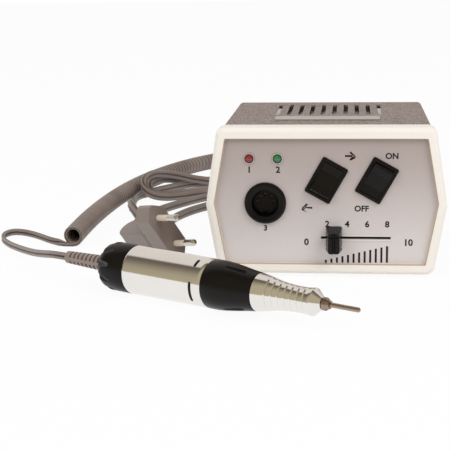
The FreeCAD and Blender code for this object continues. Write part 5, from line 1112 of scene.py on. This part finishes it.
@dataclass
class Panel:
    """The printed marks on the front panel and round its controls, with painted highlights along the slide's
    slot.
    """

    front: float = -0.0595
    ink_depth: float = 0.00004
    bar_count: int = 12
    bar_left: float = -0.00021
    bar_right: float = 0.03317
    bar_width: float = 0.0011
    bar_bottoms: tuple[float, float] = (0.0077, 0.0081)
    bar_tops: tuple[float, float] = (0.0093, 0.0171)
    highlight_ends: tuple[float, float] = (-0.0025, 0.0346)
    highlight_depth: float = 0.0003
    highlight_bands: tuple[tuple[str, float, float], ...] = (
        ("slot_highlight_lower", 0.0199, 0.02072), ("slot_highlight_upper", 0.02228, 0.0229))
    vent_bars: tuple[tuple[str, float], ...] = (("vent_end_left", -0.02895), ("vent_end_right", 0.02955))
    vent_bar_size: Point = (0.0023, 0.027, 0.0012)
    vent_bar_depth: float = 0.0165
    vent_bar_height: float = 0.0784
    letter_scale: float = 1.35
    letter_weight: float = 0.045
    words: tuple[tuple[str, float, float, float], ...] = (
        ("1", -0.0402, 0.0579, 0.0034), ("2", -0.0250, 0.0579, 0.0034), ("3", -0.0318, 0.0264, 0.0031),
        ("→", 0.0127, 0.0653, 0.0050), ("←", -0.0095, 0.0375, 0.0050),
        ("ON", 0.0345, 0.0653, 0.0032), ("OFF", 0.0190, 0.0372, 0.0032),
        ("2", 0.0010, 0.0288, 0.0034), ("4", 0.0115, 0.0288, 0.0034), ("6", 0.0220, 0.0288, 0.0034),
        ("8", 0.0325, 0.0288, 0.0034), ("0", -0.0100, 0.0189, 0.0036), ("10", 0.0436, 0.0190, 0.0036))

    def sheet(self, across: float, low: float, high: float, width: float) -> Object:
        """Lay one upright rectangle on the panel.

        Args:
            across: Its middle's distance from the panel's middle, in metres.
            low: Its lower edge's height.
            high: Its upper edge's height.
            width: Its width.

        Returns:
            The rectangle.
        """
        deselect()
        centre = (across, self.front, (low + high) / 2)
        bpy.ops.mesh.primitive_plane_add(size=1.0, location=centre, rotation=(pi / 2, 0, 0))
        sheet = bpy.context.object
        sheet.data.transform(Matrix.Diagonal((width, high - low, 1, 1)))
        settle(sheet)
        return sheet

    def thicken(self, piece: Object, name: str, thickness: float, finish: Finish) -> None:
        """Turn a flat print or painted highlight into a finished piece.

        Args:
            piece: The flat print or highlight.
            name: Its name.
            thickness: Its thickness in metres.
            finish: What it is printed or painted in.
        """
        piece.name = name
        apply_modifier(piece, "SOLIDIFY", {"thickness": thickness, "offset": 1.0})
        tidy(piece, 30.0)
        dress(piece, finish, "machine")

    def bars(self) -> None:
        """Print the rising bars under the slide."""
        pieces = []
        pitch = (self.bar_right - self.bar_left - self.bar_width) / (self.bar_count - 1)
        for index in range(self.bar_count):
            share = index / (self.bar_count - 1)
            low, high = (first + (last - first) * share for first, last in (self.bar_bottoms, self.bar_tops))
            across = self.bar_left + self.bar_width / 2 + pitch * index
            pieces.append(self.sheet(across, low, high, self.bar_width))
        pick(pieces[0])
        for bar in pieces:
            bar.select_set(True)
        bpy.ops.object.join()
        self.thicken(bpy.context.object, "speed_bars", self.ink_depth, INK)

    def lettering(self) -> None:
        """Print the small numbers, arrows and switch words."""
        for index, (text, across, up, size) in enumerate(self.words):
            deselect()
            bpy.ops.object.text_add(location=(across, self.front, up), rotation=(pi / 2, 0, 0))
            text_data = bpy.context.object.data
            text_data.body = text
            text_data.size = size * self.letter_scale
            text_data.align_x = text_data.align_y = "CENTER"
            text_data.extrude = self.ink_depth
            text_data.offset = size * self.letter_weight
            text_data.resolution_u = 3
            bpy.ops.object.convert(target="MESH")
            letters = bpy.context.object
            letters.name = f"panel_print_{index}"
            settle(letters)
            dress(letters, INK, "machine")

    def slot_highlights(self) -> None:
        """Lay painted highlights: pale lines above and below the slide's slot."""
        left, right = self.highlight_ends
        for name, low, high in self.highlight_bands:
            # Painted highlight: each pale strip stands for light caught on an edge of the slot.
            rim = self.sheet((left + right) / 2, low, high, right - left)
            self.thicken(rim, name, self.highlight_depth, SLOT_HIGHLIGHT)

    def vent_ends(self) -> None:
        """Lay the pale bars that fill most of the outer two vent slots."""
        for name, across in self.vent_bars:
            deselect()
            place = (across, self.vent_bar_depth, self.vent_bar_height)
            bpy.ops.mesh.primitive_cube_add(size=1.0, location=place)
            bar = bpy.context.object
            bar.name = name
            bar.data.transform(Matrix.Diagonal((*self.vent_bar_size, 1)))
            settle(bar)
            apply_modifier(bar, "BEVEL", {"width": 0.0002, "segments": 2})
            tidy(bar, 30.0)
            dress(bar, FINISHES[Paint.plate], "machine")

    def build(self) -> None:
        """Print the marks, and lay the vent bars and the painted slot highlights."""
        self.vent_ends()
        self.bars()
        self.lettering()
        self.slot_highlights()


@dataclass
class Studio:
    """Camera, floor, backdrop light and lamps."""

    camera_place: Point = (0.01228, -0.6665, 0.1675)
    yaw: float = -0.108
    pitch: float = 0.2247
    roll: float = -0.0163
    lens: float = 93.6
    sensor: float = 36.0
    floor_size: float = 8.0
    floor_drop: float = 0.0002
    floor_glow: float = 0.94
    floor_paint: Colour = (0.93, 0.925, 0.92)
    room_near: Colour = srgb(186, 176, 150)
    room_far: Colour = srgb(104, 94, 84)
    mirror_far: Colour = srgb(232, 226, 220)
    daylight: Colour = srgb(255, 253, 250)
    ambient_strength: float = 0.62
    lamp_target: Point = (0, 0, 0.03)
    lamps: tuple[tuple[str, Point, float, float], ...] = (
        ("key", (0.9, -0.9, 1.2), 0.8, 9.5), ("fill", (-0.9, -0.9, 0.9), 0.9, 5.0))

    def camera(self) -> None:
        """Set the camera where the photograph was taken from."""
        flat = cos(self.pitch)
        forward = Vector((sin(self.yaw) * flat, cos(self.yaw) * flat, -sin(self.pitch)))
        level = Vector((cos(self.yaw), -sin(self.yaw), 0.0))
        above = level.cross(forward)
        right = level * cos(self.roll) + above * sin(self.roll)
        up = above * cos(self.roll) - level * sin(self.roll)
        data = bpy.data.cameras.new("view")
        data.lens = self.lens
        data.sensor_width = self.sensor
        data.clip_start, data.clip_end = 0.01, 20.0
        holder = bpy.data.objects.new("view", data)
        bpy.context.collection.objects.link(holder)
        turn = Matrix((right, up, -forward)).transposed().to_4x4()
        holder.matrix_world = Matrix.Translation(Vector(self.camera_place)) @ turn
        bpy.context.scene.camera = holder

    def floor(self) -> None:
        """Lay a large pale floor that keeps the object's soft shadow."""
        deselect()
        bpy.ops.mesh.primitive_plane_add(size=self.floor_size, location=(0, 0, -self.floor_drop))
        floor = bpy.context.object
        floor.name = "studio_floor"
        settle(floor)
        paint = bpy.data.materials.new("studio white")
        paint.use_nodes = True
        graph = Graph(paint.node_tree)
        glow = graph.ray("Is Camera Ray").maximum(graph.ray("Is Glossy Ray")) * self.floor_glow
        paper = graph.node("ShaderNodeBsdfDiffuse", inputs={"Color": self.floor_paint})
        lift = graph.node("ShaderNodeEmission", inputs={"Color": WHITE, "Strength": 1.0})
        mixed = graph.node("ShaderNodeMixShader", inputs={0: glow, 1: paper.outputs[0], 2: lift.outputs[0]})
        graph.node("ShaderNodeOutputMaterial", inputs={0: mixed.outputs[0]})
        floor.data.materials.append(paint)

    def world(self) -> None:
        """Light from all round: white behind the object, a darker room in reflections from the front."""
        world = bpy.data.worlds.new("studio")
        bpy.context.scene.world = world
        world.use_nodes = True
        graph = Graph(world.node_tree)
        seen, glossy = graph.ray("Is Camera Ray"), graph.ray("Is Glossy Ray")
        direction = graph.node("ShaderNodeTexCoord").outputs["Generated"]
        depth = graph.value("ShaderNodeSeparateXYZ", inputs={0: direction}, output=1)
        room = graph.mix((depth + 0.5).ramp(0.0, 0.62), self.room_near, self.room_far)
        mirror = graph.mix((0.24 - depth).ramp(0.0, 0.09), self.mirror_far, room)
        ambient = graph.mix(glossy, self.daylight, mirror)
        colour = graph.mix(seen, ambient, WHITE)
        strength = self.ambient_strength + seen.maximum(glossy) * (1 - self.ambient_strength)
        backdrop = graph.node("ShaderNodeBackground", inputs={0: colour, 1: strength})
        graph.node("ShaderNodeOutputWorld", inputs={0: backdrop.outputs[0]})

    def lamp(self, name: str, place: Point, size: float, power: float) -> None:
        """Hang one soft square lamp.

        Args:
            name: The lamp's name.
            place: Where it hangs.
            size: Its side in metres.
            power: Its power in watts.
        """
        data = bpy.data.lights.new(name, "AREA")
        data.shape = "SQUARE"
        data.size = size
        data.energy = power
        holder = bpy.data.objects.new(name, data)
        bpy.context.collection.objects.link(holder)
        reach = Vector(self.lamp_target) - Vector(place)
        turn = reach.to_track_quat("-Z", "Y").to_matrix().to_4x4()
        holder.matrix_world = Matrix.Translation(Vector(place)) @ turn
        holder.visible_glossy = False

    def build(self) -> None:
        """Set up everything but the object."""
        self.floor()
        self.world()
        for lamp in self.lamps:
            self.lamp(*lamp)
        bpy.context.scene.view_settings.view_transform = "Standard"


def dress_nodes(frame: dict) -> None:
    """Give each CAD node that still shows a finish for its record slot.
    """
    slots = {part["node"]: part["material_slot"] for part in frame["record"]["subparts"]}
    for name, node in frame["nodes"].items():
        finish = NODE_FINISHES.get(name, FINISHES[Paint(slots[name])])
        for slot in node.material_slots:
            slot.material = finish.material()
        if not node.material_slots:
            node.data.materials.append(finish.material())


def main() -> None:
    """Load the frame, then build and dress the machine round it."""
    logging.basicConfig(level=logging.INFO, format="%(name)s %(message)s")
    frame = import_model()
    studio = Studio()
    studio.camera()
    dress_nodes(frame)
    HandpieceCord().build()
    MainsCord(route=MAINS_ROUTE).build()
    Handpiece().build()
    Panel().build()
    studio.build()


if __name__ == "__main__":
    main()
